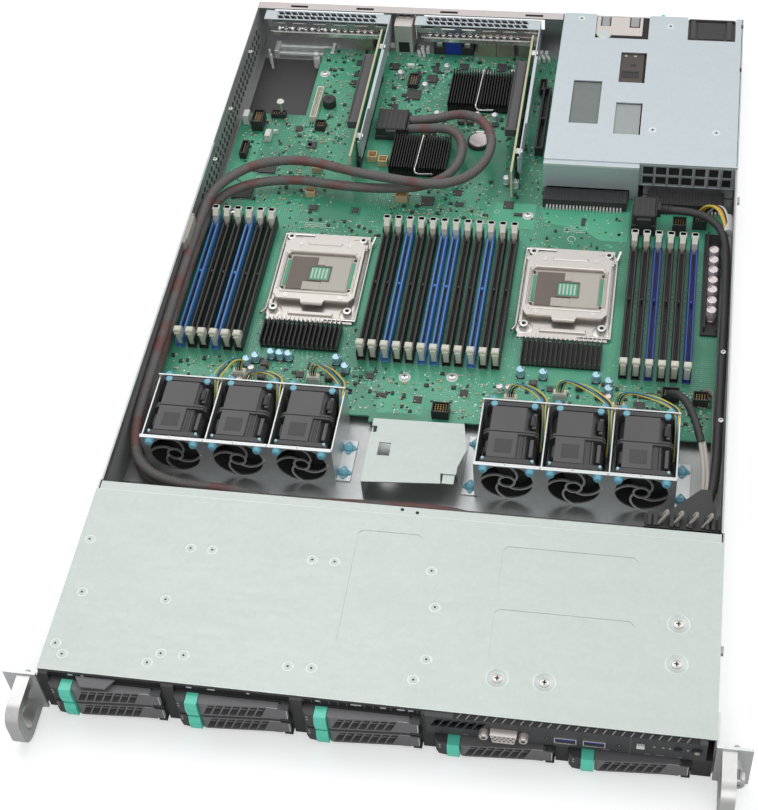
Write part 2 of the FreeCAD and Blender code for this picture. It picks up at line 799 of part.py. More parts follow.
def load_plate(x):
    """The hinged pressure plate of one socket, a stamped frame with a tongue at its front."""
    y = socket_middle
    half = plate_width / 2
    window = plate_window_width / 2
    front = y - plate_front
    outline = [
        (x - half + 4, front), (x - 10, front), (x - 8, front - 5), (x + 8, front - 5), (x + 10, front),
        (x + half - 4, front), (x + half, front + 5), (x + half, y + plate_hinge - 5), (x + half - 6, y + plate_hinge),
        (x - half + 6, y + plate_hinge), (x - half, y + plate_hinge - 5), (x - half, front + 5),
    ]
    hole = [
        (x - window + 3, y - plate_window_length / 2), (x + window - 3, y - plate_window_length / 2),
        (x + window, y - plate_window_length / 2 + 3), (x + window, y + plate_window_length / 2 - 3),
        (x + window - 3, y + plate_window_length / 2), (x - window + 3, y + plate_window_length / 2),
        (x - window, y + plate_window_length / 2 - 3), (x - window, y - plate_window_length / 2 + 3),
    ]
    thickness = 1.6
    plate = plan(outline, plate_height, plate_height + thickness)
    return plate.cut(plan(hole, plate_height - 1, plate_height + thickness + 1))


def socket_lever(x, across):
    """A bent wire lever beside the socket: cross-shaft, arm along Y, and a lifted hand end."""
    y = socket_middle
    turn = -across          # the left lever turns at the rear, the right one at the front
    z = board_top + frame_sheet + wire_radius + 0.1
    shaft_y = y + turn * wire_pivot
    arm_x = x + across * wire_place
    points = [
        V(x + across * 12, shaft_y, z),
        V(arm_x, shaft_y, z),
        V(arm_x, shaft_y - turn * wire_arm, z),
        V(arm_x + across * 2.5, shaft_y - turn * (wire_arm + 8), z + 2.5),
    ]
    path = Part.makePolygon(points)
    start = ring_points(points[0], wire_radius, points[1] - points[0], post_sides)
    return path.makePipeShell([start], True, False, 1)


def heat_sink(left, right, front, rear, top, fins):
    """A finned block drawn as one comb."""
    base = board_top + 2
    pitch = (right - left - fin) / (fins - 1)
    outline = [(left, board_top)]
    for i in range(fins):
        start = left + i * pitch
        outline += [(start, top), (start + fin, top)]
        if i < fins - 1:
            outline += [(start + fin, base), (start + pitch, base)]
    outline.append((right, board_top))
    return front_view(outline, front, rear)


# Parts on the main board: (left, right, front, rear, top)
board_blocks = (
    (137.0, 157.0, 471.0, 495.0, 30.0),
    (170.0, 181.0, 473.0, 483.0, 20.0),
    (186.0, 197.0, 481.0, 491.0, 18.0),
    (196.5, 209.5, 365.0, 475.0, 10.0),
    (3.0, 16.0, 263.0, 273.0, 17.0),
    (171.0, 184.0, 296.0, 305.0, 16.0),
    (194.0, 205.0, 294.0, 303.0, 16.0),
    (-90.0, -62.0, 570.0, 598.0, 21.0),
    (-92.0, -84.0, 541.0, 549.0, 14.0),
    (-82.0, -74.0, 536.0, 544.0, 14.0),
    (-137.0, -129.0, 523.0, 531.0, 14.0),
    (-137.0, -129.0, 493.0, 500.0, 14.0),
    (-60.0, -50.0, 493.0, 503.0, 15.0),
    (-152.0, -146.0, 590.0, 632.0, 13.0),
    (-145.0, -136.0, 577.0, 586.0, 14.0),
    (50.0, 57.0, 560.0, 640.0, 17.0),
    (-39.0, -27.0, 490.0, 502.0, 9.4),
    (-72.0, -58.0, 624.0, 638.0, 9.6),
    (-57.0, -46.0, 648.0, 660.0, 9.6),
    (-93.0, -83.0, 664.0, 674.0, 9.6),
)
fan_headers = ((-150.0, 290.0), (-140.0, 276.0), (-92.0, 290.0), (60.0, 284.0), (96.0, 292.0), (140.0, 284.0))
capacitor_row = (447.0, 436.0, 425.0, 414.0, 403.5, 392.0, 381.7)
small_capacitors = ((-129.6, 310.0), (-122.0, 309.0), (81.7, 309.0), (121.7, 310.0), (131.4, 300.0), (-77.7, 309.0))
board_slots = ((-99.6, 530.0, 650.0), (36.5, 530.0, 650.0))
supply_sockets = ((63.0, 132.0, 498.0, 512.5), (148.0, 210.0, 500.0, 516.0))
guide_left = 165.0
film_left = -212.0
film_rear = 682.0
film_thickness = 0.4


def card_socket(x, front, rear):
    """An upright socket for a slot card."""
    body = box(x - 3.6, x + 3.6, front, rear, board_top, board_top + 11)
    gap = board_thickness / 2 + loose
    return body.cut(box(x - gap, x + gap, front - 1, rear + 1, riser_bottom - loose, board_top + 12))


def board_parts():
    """Connectors, chips, capacitors and battery of the main board, the cable guide and the film."""
    solids = [box(x0, x1, y0, y1, board_top, top) for x0, x1, y0, y1, top in board_blocks]
    solids.append(box(157, 168, 481, 489, 20, 29))
    for x, y in fan_headers:
        solids.append(box(x - 5, x + 5, y - 3, y + 3, board_top, board_top + 8))
    for y in capacitor_row:
        solids.append(polygon_bar((204.0, y, 10), 3.6, (0, 0, 11), post_sides))
    for x, y in small_capacitors:
        solids.append(polygon_bar((x, y, board_top), 2.9, (0, 0, 8), post_sides))
    solids.append(polygon_bar((1, 572, board_top), 10, (0, 0, 5), 16))
    solids.append(polygon_bar((-138, 612, board_top), 6, (0, 0, 8), 12))
    for x, front, rear in board_slots:
        solids.append(card_socket(x, front, rear))
    for x0, x1, y0, y1 in supply_sockets:
        socket = box(x0, x1, y0, y1, board_top, board_top + 9)
        groove = box(x0 + 1.5, x1 - 1.5, y0 + 6, y1 + 1, edge_low - loose, edge_low + board_thickness + loose)
        solids.append(socket.cut(groove))
    guide = front_view([
        (guide_left, deck), (guide_left + 4, deck), (guide_left + 4, 31), (wall_inside, 31),
        (wall_inside, 36), (guide_left, 36),
    ], 162, 175)
    teeth = [box(x, x + 6, 168, 176, 30, 38) for x in (174, 186, 198)]
    solids.append(opened(guide, teeth))
    film = box(film_left, sheet_cut_right - 1, sheet_cut_front + 3, film_rear, deck, deck + film_thickness)
    solids.append(film)
    return solids


def rear_connectors():
    """The plugs' sockets at the rear edge of the main board, the network jacks open to the rear."""
    solids = []
    for left, right, top, jack in rear_ports:
        port = box(left, right, port_front, body_depth, board_top, top)
        if jack:
            middle = (left + right) / 2
            low = board_top + jack_sill
            port = port.cut(box(middle - jack_width / 2, middle + jack_width / 2, body_depth - jack_depth,
                                body_depth + 1, low, low + jack_height))
        solids.append(port)
    return solids


edge_low = 11.7


def spoke(turn):
    """One spiral spoke of a fan guard in the XZ plane, in two straight chords."""
    inner = guard_ring - guard_wire
    outer = guard_opening / 2 + 1
    sweep = math.radians(75)
    sides = ([], [])
    for i in range(3):
        t = i / 2
        reach = inner + (outer - inner) * t
        angle = math.radians(turn) + sweep * t
        offset = math.atan2(guard_wire / 2, reach)
        for side, sign in zip(sides, (-1, 1)):
            side.append((reach * math.cos(angle + sign * offset), reach * math.sin(angle + sign * offset)))
    return front_view(sides[0] + sides[1][::-1], 0, bracket_sheet)


def fan_guard():
    """The finger guard stamped into the bracket: a ring held by spiral spokes."""
    along = (0, bracket_sheet, 0)
    ring = polygon_bar((0, 0, 0), guard_ring, along, hub_sides)
    ring = ring.cut(polygon_bar((0, 0, 0), guard_ring - guard_wire, along, hub_sides))
    return join([ring] + [spoke(i * 360 / guard_spokes) for i in range(guard_spokes)])


def fan_bracket(first, feet):
    """A sheet-metal basket for three fans, with guards in front and open sides above and below."""
    left = first - fan_pitch / 2
    right = first + (fans_per_bracket - 0.5) * fan_pitch
    front = fan_front - bracket_gap - bracket_sheet
    rear = fan_front + fan_length + bracket_gap
    low = deck
    pieces = [
        box(left, right, front, front + bracket_sheet, low, bracket_top),
        box(left, right, rear, rear + bracket_sheet, low, bracket_top),
    ]
    for i in range(fans_per_bracket + 1):
        x = left + i * (right - left - bracket_sheet) / fans_per_bracket
        pieces.append(box(x, x + bracket_sheet, front, rear + bracket_sheet, low, bracket_top - 3))
    for x0, x1, y0, y1 in feet:
        pieces.append(box(x0, x1, y0, y1, low, low + bracket_sheet))
    openings = []
    guards = []
    for i in range(fans_per_bracket):
        x = first + i * fan_pitch
        corner = guard_opening / 2 / math.cos(math.pi / 8)
        openings.append(polygon_bar((x, front - 1, fan_middle), corner, (0, rear - front + 4, 0), 8, 22.5))
        guards.append(fan_guard().translated(V(x, front, fan_middle)))
    basket = opened(join(pieces), openings)
    return join([basket] + guards)


def fan_places():
    """The middle of every fan, from left to right."""
    return [first + i * fan_pitch for first in first_fans for i in range(fans_per_bracket)]


def fan_housing(x):
    """One fan body: a square block with a round duct and the spider that carries the shaft."""
    half = fan_size / 2
    rear = fan_front + fan_length
    middle = fan_front + fan_length / 2
    block = box(x - half, x + half, fan_front, rear, fan_floor, fan_floor + fan_size)
    duct = polygon_bar((x, fan_front - 1, fan_middle), duct_radius, (0, fan_length + 2, 0), duct_sides)
    boss = polygon_bar((x, middle - 5, fan_middle), hub_radius, (0, 10, 0), hub_sides)
    strut = box(x - duct_radius - 0.5, x + duct_radius + 0.5, middle - 4, middle + 4, fan_middle - 1, fan_middle + 1)
    bore_radius = shaft_radius / math.cos(math.pi / shaft_sides) + shaft_fit
    bore = polygon_bar((x, middle - 6, fan_middle), bore_radius, (0, 12, 0), shaft_sides)
    return opened(join([block.cut(duct), boss, strut]), [bore])


def impeller(x, y, hand):
    """One impeller: a many-sided hub and flat pitched blades."""
    length = 14.0
    pieces = [polygon_bar((x, y - length / 2, fan_middle), hub_radius, (0, length, 0), hub_sides)]
    root = hub_radius - 1.2
    for i in range(blades):
        blade = box(-blade_thickness / 2, blade_thickness / 2, -blade_chord / 2, blade_chord / 2, root, blade_reach)
        blade.rotate(V(0, 0, 0), V(0, 0, 1), hand * 40)
        blade.rotate(V(0, 0, 0), V(0, 1, 0), i * 360 / blades)
        blade.translate(V(x, y, fan_middle))
        pieces.append(blade)
    return pieces


def fan_rotor(x):
    """Both impellers of one fan on their shaft."""
    middle = fan_front + fan_length / 2
    shaft = polygon_bar((x, middle - 8, fan_middle), shaft_radius, (0, 16, 0), shaft_sides)
    return join([shaft] + impeller(x, middle - 13, 1) + impeller(x, middle + 13, -1))


bridge_top = 21.0
bridge_left = -37.5
bridge_right = 30.0


def bridge_cover():
    """The folded plate between the two fan brackets, standing on two sides."""
    outline = [
        (bridge_left, 249), (bridge_right, 250), (bridge_right + 4.7, 226), (bridge_right, 210), (bridge_right, 203),
        (18.6, 203), (19.8, 194), (bridge_left, 190),
    ]
    top = plan(outline, bridge_top - sheet, bridge_top)
    sides = [
        box(bridge_left, bridge_left + sheet, 190, 249, deck, bridge_top),
        box(bridge_right - sheet, bridge_right, 212, 249, deck, bridge_top),
    ]
    tab = box(20.5, 29, 195, 204, bridge_top - 2 * sheet, bridge_top - sheet)
    holes = [
        box(-29.7, -20.8, 215, 227, bridge_top - 2, bridge_top + 1),
        box(bridge_left - 1, bridge_left + 4, 236, 242, bridge_top - 2, bridge_top + 1),
    ]
    return join([opened(join([top] + sides), holes), tab])


cage_windows = (
    (78.0, 102.3, 564.0, 619.5), (115.7, 137.8, 619.3, 659.8), (115.8, 138.0, 552.8, 593.0),
    (91.0, 137.8, 678.5, 713.0), (171.0, 212.3, 680.0, 713.0),
)
cage_middle = supply_right_bay - supply_gap - 4.3
intake_columns = 7
intake_rows = 2


def supply_cage():
    """The cage of the two power supplies: top plate, walls, and the grille of the right bay."""
    top = box(supply_left, half_body, cage_front, body_depth, wall_top, body_height)
    left = box(supply_left, supply_left + sheet, supply_front, body_depth, deck, wall_top)
    middle = box(cage_middle, cage_middle + sheet, supply_front, body_depth, deck, wall_top)
    front = box(supply_left, cage_middle + sheet, supply_front, supply_front + sheet, deck, wall_top)
    fold = box(supply_left, cage_middle + sheet, supply_front, cage_front + 6, wall_top - sheet, wall_top)
    mouth = box(supply_left + 3, cage_middle - 6, supply_front - 1, supply_front + 2, board_top, board_top + 10)
    grille_low = board_top + 11
    grille = box(cage_middle, wall_inside, cage_front, cage_front + sheet, grille_low, wall_top)
    holes = [mouth]
    pitch = (wall_inside - cage_middle - 6) / intake_columns
    row = (wall_top - grille_low - 3) / intake_rows
    for i in range(intake_columns):
        for k in range(intake_rows):
            x = cage_middle + 4 + i * pitch
            z = grille_low + 2 + k * row
            holes.append(box(x, x + pitch - 2, cage_front - 1, cage_front + 2, z, z + row - 1.5))
    for x0, x1, y0, y1 in cage_windows:
        holes.append(box(x0, x1, y0, y1, wall_top - 2, body_height + 1))
    return opened(join([top, left, middle, front, fold, grille]), holes)


inlet_width = 24.6
inlet_height = 16.6
inlet_depth = 15.0
inlet_left = supply_right_bay + 2.6
inlet_low = 6.0
fan_recess = 18.0
fan_recess_depth = 8.0
release_left = supply_right_bay + 3.3
release_low = 28.0
release_high = 34.0
release_travel = 2.2
bail_low = 17.0
bail_high = 25.0


def supply_module():
    """The power supply: case with mains inlet and fan recess, edge card, pins and bail."""
    left = supply_right_bay
    right = left + supply_width
    front = body_depth - supply_depth
    low = deck + supply_gap
    high = low + supply_height
    case = box(left, right, front, body_depth, low, high)
    fan_x = left + 48.1
    fan_z = (low + high) / 2
    holes = [
        box(inlet_left, inlet_left + inlet_width, body_depth - inlet_depth, body_depth + 1,
            inlet_low, inlet_low + inlet_height),
        polygon_bar((fan_x, body_depth - fan_recess_depth, fan_z), fan_recess, (0, fan_recess_depth + 1, 0), 16),
        box(release_left - slide_gap, release_left + 3 + release_travel + slide_gap, body_depth - 9, body_depth + 1,
            release_low - slide_gap, release_high + slide_gap),
    ]
    case = opened(case, holes)
    edge = box(left + 8, left + 62, supply_sockets[1][3] - 8, front, edge_low, edge_low + board_thickness)
    middle = inlet_left + inlet_width / 2
    pins = []
    for x, z in ((middle, 17.5), (middle - 7, 11.5), (middle + 7, 11.5)):
        pins.append(box(x - 1, x + 1, body_depth - inlet_depth, body_depth - 3, z - 2, z + 2))
    bail_left = left + 25.9
    bail_right = left + 70.6
    bail_rear = body_depth + supply_handle_reach
    legs = [box(x, x + supply_handle_bar, body_depth, bail_rear, bail_low, bail_high)
            for x in (bail_left, bail_right - supply_handle_bar)]
    bar = box(bail_left, bail_right, bail_rear - supply_handle_bar, bail_rear, bail_low, bail_high)
    return [join([case, edge] + pins), join(legs + [bar])]


def supply_release():
    """The push tab that frees the power supply."""
    x1 = release_left + 3
    shank = box(release_left, x1, body_depth - 8, body_depth + 2, release_low, release_high)
    tab = box(release_left, x1, body_depth + loose, body_depth + release_reach, release_low - 2, release_high + 2)
    return join([shank, tab])


blank_depth = 30.0


def supply_blank():
    """The filler of the empty supply bay: a shallow cap with a pull tab."""
    left = supply_left + sheet + supply_gap
    right = cage_middle - supply_gap
    rear = body_depth
    wall = 1.2
    cap = plan([
        (left, rear), (right, rear), (right, rear - blank_depth), (right - wall, rear - blank_depth),
        (right - wall, rear - wall), (left + wall, rear - wall), (left + wall, rear - blank_depth),
        (left, rear - blank_depth),
    ], deck + supply_gap, wall_top - supply_gap)
    middle = (left + right) / 2
    tab = box(middle - 10, middle + 10, rear - wall, rear + 8, 19, 21)
    return join([cap, tab])


def riser(card_x, front, rear, arm_left):
    """A slot card with its add-in slot, and the bracket whose rear arm holds the add-in card."""
    card = box(card_x, card_x + board_thickness, front, rear, riser_bottom, riser_top)
    bracket_x = card_x + board_thickness + riser_spacer
    plate = box(bracket_x, bracket_x + sheet, front + 20, riser_arm_rear, 20, riser_top + sheet)
    arm = box(arm_left, bracket_x + sheet, riser_arm_front, riser_arm_rear, riser_top, riser_top + sheet)
    tail = box(arm_left, bracket_x + sheet, riser_arm_rear - sheet, riser_arm_rear, card_window_low - 1, riser_top)
    slots = []
    count = int((bracket_x - arm_left - 8) // 18)
    for i in range(count):
        x = arm_left + 5 + i * 18
        slots.append(box(x, x + 12, riser_arm_rear - 2, riser_arm_rear + 1, card_window_low + 3, card_window_high - 4))
    bracket = opened(join([plate, arm, tail]), slots)
    spacers = []
    for y in (front + 30, rear - 20):
        spacers.append(polygon_bar((card_x + board_thickness, y, 36), 2.6, (riser_spacer, 0, 0), 6))
    slot = box(card_x - add_in_reach, card_x, add_in_front, add_in_front + add_in_length, add_in_low, add_in_high)
    middle = (add_in_low + add_in_high) / 2
    groove = box(card_x - add_in_reach - 1, card_x - 3, add_in_front + 2, add_in_front + add_in_length - 2,
                 middle - 0.9, middle + 0.9)
    return [card, bracket, slot.cut(groove)] + spacers


# Routes, chosen by hand: each list is the corner points of one cable
signal_route_one = [
    (-61.6, 588, 16), (-42, 589, 17), (-17, 592, 24), (6, 576, 31), (18, 544, 32), (8, 508, 32), (-20, 490, 32),
    (-58, 495, 32), (-98, 503, 31), (-140, 516, 30), (-178, 509, 30), (-199, 490, 30), (-210.5, 470, 30),
    (-213.3, 440, 30), (-213.4, 345, 30), (-212.9, 255, 28), (-212.3, 217, 26), (-203, 187, 24), (-176, 172, 23),
    (-130, 172, 22), (-106, 168, 22), (-94, 158, 21), (-92, 143, 21),
]
signal_route_two = [
    (-61.6, 577, 16), (-43, 577, 18), (-21, 573, 22), (-8, 551, 23), (-13, 519, 21), (-36, 500, 21),
    (-66, 495, 21), (-104, 496, 20), (-145, 503, 19), (-180, 496, 19), (-202, 482, 19), (-211, 462, 19),
    (-213.4, 435, 19), (-213.3, 340, 19), (-212.9, 255, 17), (-212.3, 217, 15), (-203, 187, 13), (-176, 172, 12),
    (-120, 172, 11), (-50, 175, 12), (20, 176, 14), (50, 171, 14), (67.5, 161, 14), (70, 143.2, 14),
]
power_route = [
    (168.2, 485, 24.5), (182, 485, 24.5), (199, 479, 24.5), (211, 462, 24.5), (213.8, 430, 25),
    (213.6, 350, 25.5), (213.0, 265, 25), (212, 212, 24.5), (205, 179, 24), (191, 163, 23), (188, 142.8, 22),
]
ribbon_route = [(202, 303.6), (206.5, 303.6), (208.9, 298), (209.2, 215), (205, 185), (196, 166)]


def panel_ribbon():
    """The flat ribbon along the right wall, standing on its edge."""
    half = 0.45
    there = [(x + half, y) for x, y in ribbon_route]
    back = [(x - half, y - half) for x, y in reversed(ribbon_route)]
    return plan(there + back, 9, 19)


save("chassis_base", [chassis_base()])
save("front_cover", [front_cover()])
save("rack_ears", [rack_ear(), mirrored(rack_ear())])
save("rack_handles", [rack_handle(), mirrored(rack_handle())])
save("thumbscrew_right", [thumbscrew()])
save("thumbscrew_left", [mirrored(thumbscrew())])
save("asset_tag", [asset_tag()])
save("bay_frame", [bay_frame()])
trays = [(column, lower_tray) for column in range(bay_columns)]
trays += [(column, upper_tray) for column in range(full_columns)]
for number, (column, tier) in enumerate(trays, 1):
    save("drive_tray_%d" % number, drive_tray(tray_left(column), tier))
    save("tray_lever_%d" % number, tray_lever(tray_left(column), tier))
save("front_panel", front_panel())
for name, x, width, height in panel_buttons:
    save(name, [panel_button(x, width, height)])
save("backplane", backplane())
save("motherboard", [motherboard()])
save("memory_slots", [memory_slot(x) for x in memory_places()])
save("memory_latches_front", [memory_latch(x, -1) for x in memory_places()])
save("memory_latches_rear", [memory_latch(x, 1) for x in memory_places()])
save("socket_frames", [solid for x in socket_places for solid in socket_frame(x)])
for number, x in enumerate(socket_places, 1):
    save("load_plate_%d" % number, [load_plate(x)])
    save("socket_lever_%da" % number, [socket_lever(x, -1)])
    save("socket_lever_%db" % number, [socket_lever(x, 1)])
save("heat_sinks", [heat_sink(*sizes, fins) for sizes, fins in zip(heat_sinks, fin_counts)])
save("board_parts", board_parts())
save("rear_ports", rear_connectors())
left_feet = [(-61.0, -49.0, 203.0, 241.0)]
right_feet = [(33.0, 45.0, 200.0, 254.0), (183.0, 196.0, 203.0, 244.0)]
save("fan_brackets", [fan_bracket(first_fans[0], left_feet), fan_bracket(first_fans[1], right_feet)])
save("fan_housings", [fan_housing(x) for x in fan_places()])
for number, x in enumerate(fan_places(), 1):
    save("fan_rotor_%d" % number, [fan_rotor(x)])
save("bridge_cover", [bridge_cover()])
save("supply_cage", [supply_cage()])
save("supply_module", supply_module())
save("supply_release", [supply_release()])
save("supply_blank", [supply_blank()])
for name, sizes in zip(("riser_left", "riser_right"), riser_cards):
    save(name, riser(*sizes))
save("signal_cables", [cable(signal_route_one, signal_radius), cable(signal_route_two, signal_radius)])
save("power_cables", [cable(power_route, power_radius), panel_ribbon()])
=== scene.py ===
import math
import bpy
import numpy as np
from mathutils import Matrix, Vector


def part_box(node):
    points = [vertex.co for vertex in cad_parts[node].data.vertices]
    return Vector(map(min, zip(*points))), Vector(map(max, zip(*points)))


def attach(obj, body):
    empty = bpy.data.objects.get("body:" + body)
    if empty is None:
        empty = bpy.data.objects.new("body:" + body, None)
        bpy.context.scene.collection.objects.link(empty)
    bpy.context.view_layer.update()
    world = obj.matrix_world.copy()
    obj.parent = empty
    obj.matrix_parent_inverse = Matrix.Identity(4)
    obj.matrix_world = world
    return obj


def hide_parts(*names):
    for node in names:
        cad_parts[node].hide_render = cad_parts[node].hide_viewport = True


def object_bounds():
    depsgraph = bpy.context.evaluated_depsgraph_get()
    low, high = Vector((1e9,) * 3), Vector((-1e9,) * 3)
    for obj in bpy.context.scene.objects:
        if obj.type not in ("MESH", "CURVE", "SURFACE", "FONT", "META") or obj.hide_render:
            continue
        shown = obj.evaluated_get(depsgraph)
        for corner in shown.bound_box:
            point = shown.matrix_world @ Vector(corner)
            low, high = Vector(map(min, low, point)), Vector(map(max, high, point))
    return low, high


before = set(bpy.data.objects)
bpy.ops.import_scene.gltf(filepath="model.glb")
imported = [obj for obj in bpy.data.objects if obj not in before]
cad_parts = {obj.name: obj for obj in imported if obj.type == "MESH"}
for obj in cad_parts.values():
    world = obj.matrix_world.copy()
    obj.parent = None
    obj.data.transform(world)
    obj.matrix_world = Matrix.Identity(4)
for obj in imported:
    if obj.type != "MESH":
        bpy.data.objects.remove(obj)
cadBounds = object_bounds()
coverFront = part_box("front_cover")[0][1]  # the cover's front edge, from which all depths are measured
mm = 0.001


# Places are in millimetres: x from the middle, y back from the cover's front edge, z up from the floor.
def toFrame(points):
    placed = np.array(points, dtype=float) * mm
    placed[..., 1] += coverFront
    return placed


camera = {
    "place": (160.85, -514.4, 970.43), "turn": (0.697396, 0.0733448, 0.160698), "lens": 74.12, "sensor": 36
}


def makeCamera():
    eye = bpy.data.cameras.new("eye")
    eye.sensor_fit = "VERTICAL"
    eye.sensor_height = camera["sensor"]
    eye.lens = camera["lens"]
    eye.clip_start = 0.01
    eye.clip_end = 50
    holder = bpy.data.objects.new("eye", eye)
    holder.location = toFrame(camera["place"])
    holder.rotation_euler = camera["turn"]
    bpy.context.collection.objects.link(holder)
    bpy.context.scene.camera = holder


light = {
    "world": (0.90, 0.92, 0.93), "worldStrength": 0.42,
    "lamps": (
        ((-0.5, 0.5, 1.6), 1.5, 8.5),
        ((0.9, 0.6, 1.5), 1.1, 5),
        ((0.3, -1.5, 1.2), 1.3, 5.5),
    ),
    "floorColour": (0.93, 0.93, 0.93), "floorSize": 8, "floorGlow": 0.42,
}


# Adds a shader node: plain settings as keywords, inputs as values or as outputs of other nodes.
def addNode(tree, kind, inputs=None, **settings):
    node = tree.nodes.new("ShaderNode" + kind)
    for key, value in settings.items():
        setattr(node, key, value)
    for key, value in (inputs or {}).items():
        if isinstance(value, bpy.types.NodeSocket):
            tree.links.new(value, node.inputs[key])
        else:
            node.inputs[key].default_value = value
    return node


def shaderMath(tree, operation, *values):
    return addNode(tree, "Math", dict(enumerate(values)), operation=operation).outputs[0]


def mixColour(tree, factor, first, second):
    first, second = ((*colour[:3], 1) if isinstance(colour, tuple) else colour for colour in (first, second))
    return addNode(tree, "Mix", {"Factor": factor, 6: first, 7: second}, data_type="RGBA").outputs[2]


def noise(tree, place, scale, detail=3, stretch=None):
    if stretch is not None:
        place = addNode(tree, "Mapping", {0: place, "Scale": stretch}).outputs[0]
    return addNode(tree, "TexNoise", {0: place, "Scale": scale, "Detail": detail}).outputs["Fac"]


# Fades from 0 to 1 as a value goes from low to high.
def ramp(tree, value, low, high):
    inputs = {"Value": value, "From Min": low, "From Max": high}
    return addNode(tree, "MapRange", inputs, interpolation_type="SMOOTHSTEP").outputs["Result"]


# A shader that is plain white to the camera and to mirrors, and the given shader to everything else.
def whiteToCamera(tree, surface, back):
    path = addNode(tree, "LightPath").outputs
    seen = shaderMath(tree, "MAXIMUM", path["Is Camera Ray"], path["Is Glossy Ray"])
    either = shaderMath(tree, "MAXIMUM", seen, path["Is Transmission Ray"])
    return addNode(tree, "MixShader", {0: either, 1: surface, 2: back}).outputs[0]


def makeLight():
    scene = bpy.context.scene
    scene.view_settings.view_transform = "Standard"
    world = bpy.data.worlds.new("studio")
    scene.world = world
    world.use_nodes = True
    tree = world.node_tree
    tree.nodes.clear()
    soft = addNode(tree, "Background", {0: (*light["world"], 1), 1: light["worldStrength"]})
    white = addNode(tree, "Background", {0: (1, 1, 1, 1), 1: 1})
    addNode(tree, "OutputWorld", {0: whiteToCamera(tree, soft.outputs[0], white.outputs[0])})
    for i, (place, size, power) in enumerate(light["lamps"]):
        lamp = bpy.data.lights.new("softbox%d" % i, "AREA")
        lamp.shape = "DISK"
        lamp.size = size
        lamp.energy = power
        holder = bpy.data.objects.new("softbox%d" % i, lamp)
        holder.location = place
        away = np.array(place) / np.linalg.norm(place)
        holder.rotation_euler = (math.acos(away[2]), 0, math.atan2(away[1], away[0]) + math.pi / 2)
        bpy.context.collection.objects.link(holder)


# The floor is a square; to the camera it is white, darkened only where the object shades it.
def makeFloor():
    half = light["floorSize"] / 2
    low = cadBounds[0][2]
    corners = [(-half, -half, low), (half, -half, low), (half, half, low), (-half, half, low)]
    mesh = bpy.data.meshes.new("floor")
    mesh.from_pydata(corners, [], [(0, 1, 2, 3)])
    floor = bpy.data.objects.new("floor", mesh)
    bpy.context.collection.objects.link(floor)
    material = bpy.data.materials.new("paper")
    material.use_nodes = True
    tree = material.node_tree
    tree.nodes.clear()
    matt = addNode(tree, "BsdfDiffuse", {0: (*light["floorColour"], 1)}).outputs[0]
    glow = addNode(tree, "Emission", {0: (1, 1, 1, 1), 1: light["floorGlow"]}).outputs[0]
    both = addNode(tree, "AddShader", {0: matt, 1: glow}).outputs[0]
    seen = addNode(tree, "LightPath").outputs["Is Camera Ray"]
    addNode(tree, "OutputMaterial", {0: addNode(tree, "MixShader", {0: seen, 1: matt, 2: both}).outputs[0]})
    mesh.materials.append(material)


def startFinish(name, roughness, metallic=0, coat=0):
    material = bpy.data.materials.new(name)
    material.use_nodes = True
    tree = material.node_tree
    shader = tree.nodes["Principled BSDF"]
    for key, value in (("Roughness", roughness), ("Metallic", metallic), ("Coat Weight", coat)):
        shader.inputs[key].default_value = value
    return material, tree, shader, addNode(tree, "TexCoord").outputs["Object"]


# Joins a colour and a height to a started finish.
def endFinish(material, tree, shader, colour, height, strength, distance):
    bump = addNode(tree, "Bump", {"Strength": strength, "Distance": distance, "Height": height})
    tree.links.new(bump.outputs[0], shader.inputs["Normal"])
    tree.links.new(colour, shader.inputs["Base Color"])
    return material


# A darker and a paler shade of a colour.
def shades(colour, drift):
    return tuple(c * (1 - drift) for c in colour), tuple(min(1, c * (1 + drift)) for c in colour)


# Moulded plastic, paint or print: a colour that drifts a little, with a fine grain in the surface.
def plainFinish(name, colour, roughness=0.5, drift=0.12, grain=900, coat=0, metallic=0):
    material, tree, shader, place = startFinish(name, roughness, metallic, coat)
    tone = mixColour(tree, noise(tree, place, 35), *shades(colour, drift))
    return endFinish(material, tree, shader, tone, noise(tree, place, grain, 2), 0.12, 0.0002)


# Plated or galvanised sheet: a faint spangle of flat patches, long soft streaks and fine scratches.
def sheetFinish(name, colour, roughness=0.42, metallic=0.75, spangle=0.05, streak=(1, 6, 1)):
    material, tree, shader, place = startFinish(name, roughness, metallic)
    cells = addNode(tree, "TexVoronoi", {"Vector": place, "Scale": 320})
    patches = shaderMath(tree, "MULTIPLY", cells.outputs["Color"], 1)
    spangled = mixColour(tree, patches, *shades(colour, spangle))
    long = ramp(tree, noise(tree, place, 9, 4, streak), 0.3, 0.7)
    faded = mixColour(tree, long, shades(colour, spangle * 0.8)[0], colour)
    worn = noise(tree, place, 60, 4, streak)
    rough = addNode(tree, "MapRange", {"Value": worn, "To Min": roughness - 0.06, "To Max": roughness + 0.08})
    tree.links.new(rough.outputs[0], shader.inputs["Roughness"])
    scratches = noise(tree, place, 500, 3, streak)
    return endFinish(material, tree, shader, mixColour(tree, 0.5, spangled, faded), scratches, 0.05, 0.0002)


# Fine parallel tracks: long bricks in low rows, with narrow bright mortar.
def tracks(tree, place, length, pitch, gap):
    return addNode(tree, "TexBrick", {
        "Vector": place, "Scale": 1, "Brick Width": length, "Row Height": pitch, "Mortar Size": gap,
        "Color1": (0, 0, 0, 1), "Color2": (0.25, 0.25, 0.25, 1), "Mortar": (1, 1, 1, 1),
    }).outputs["Color"]


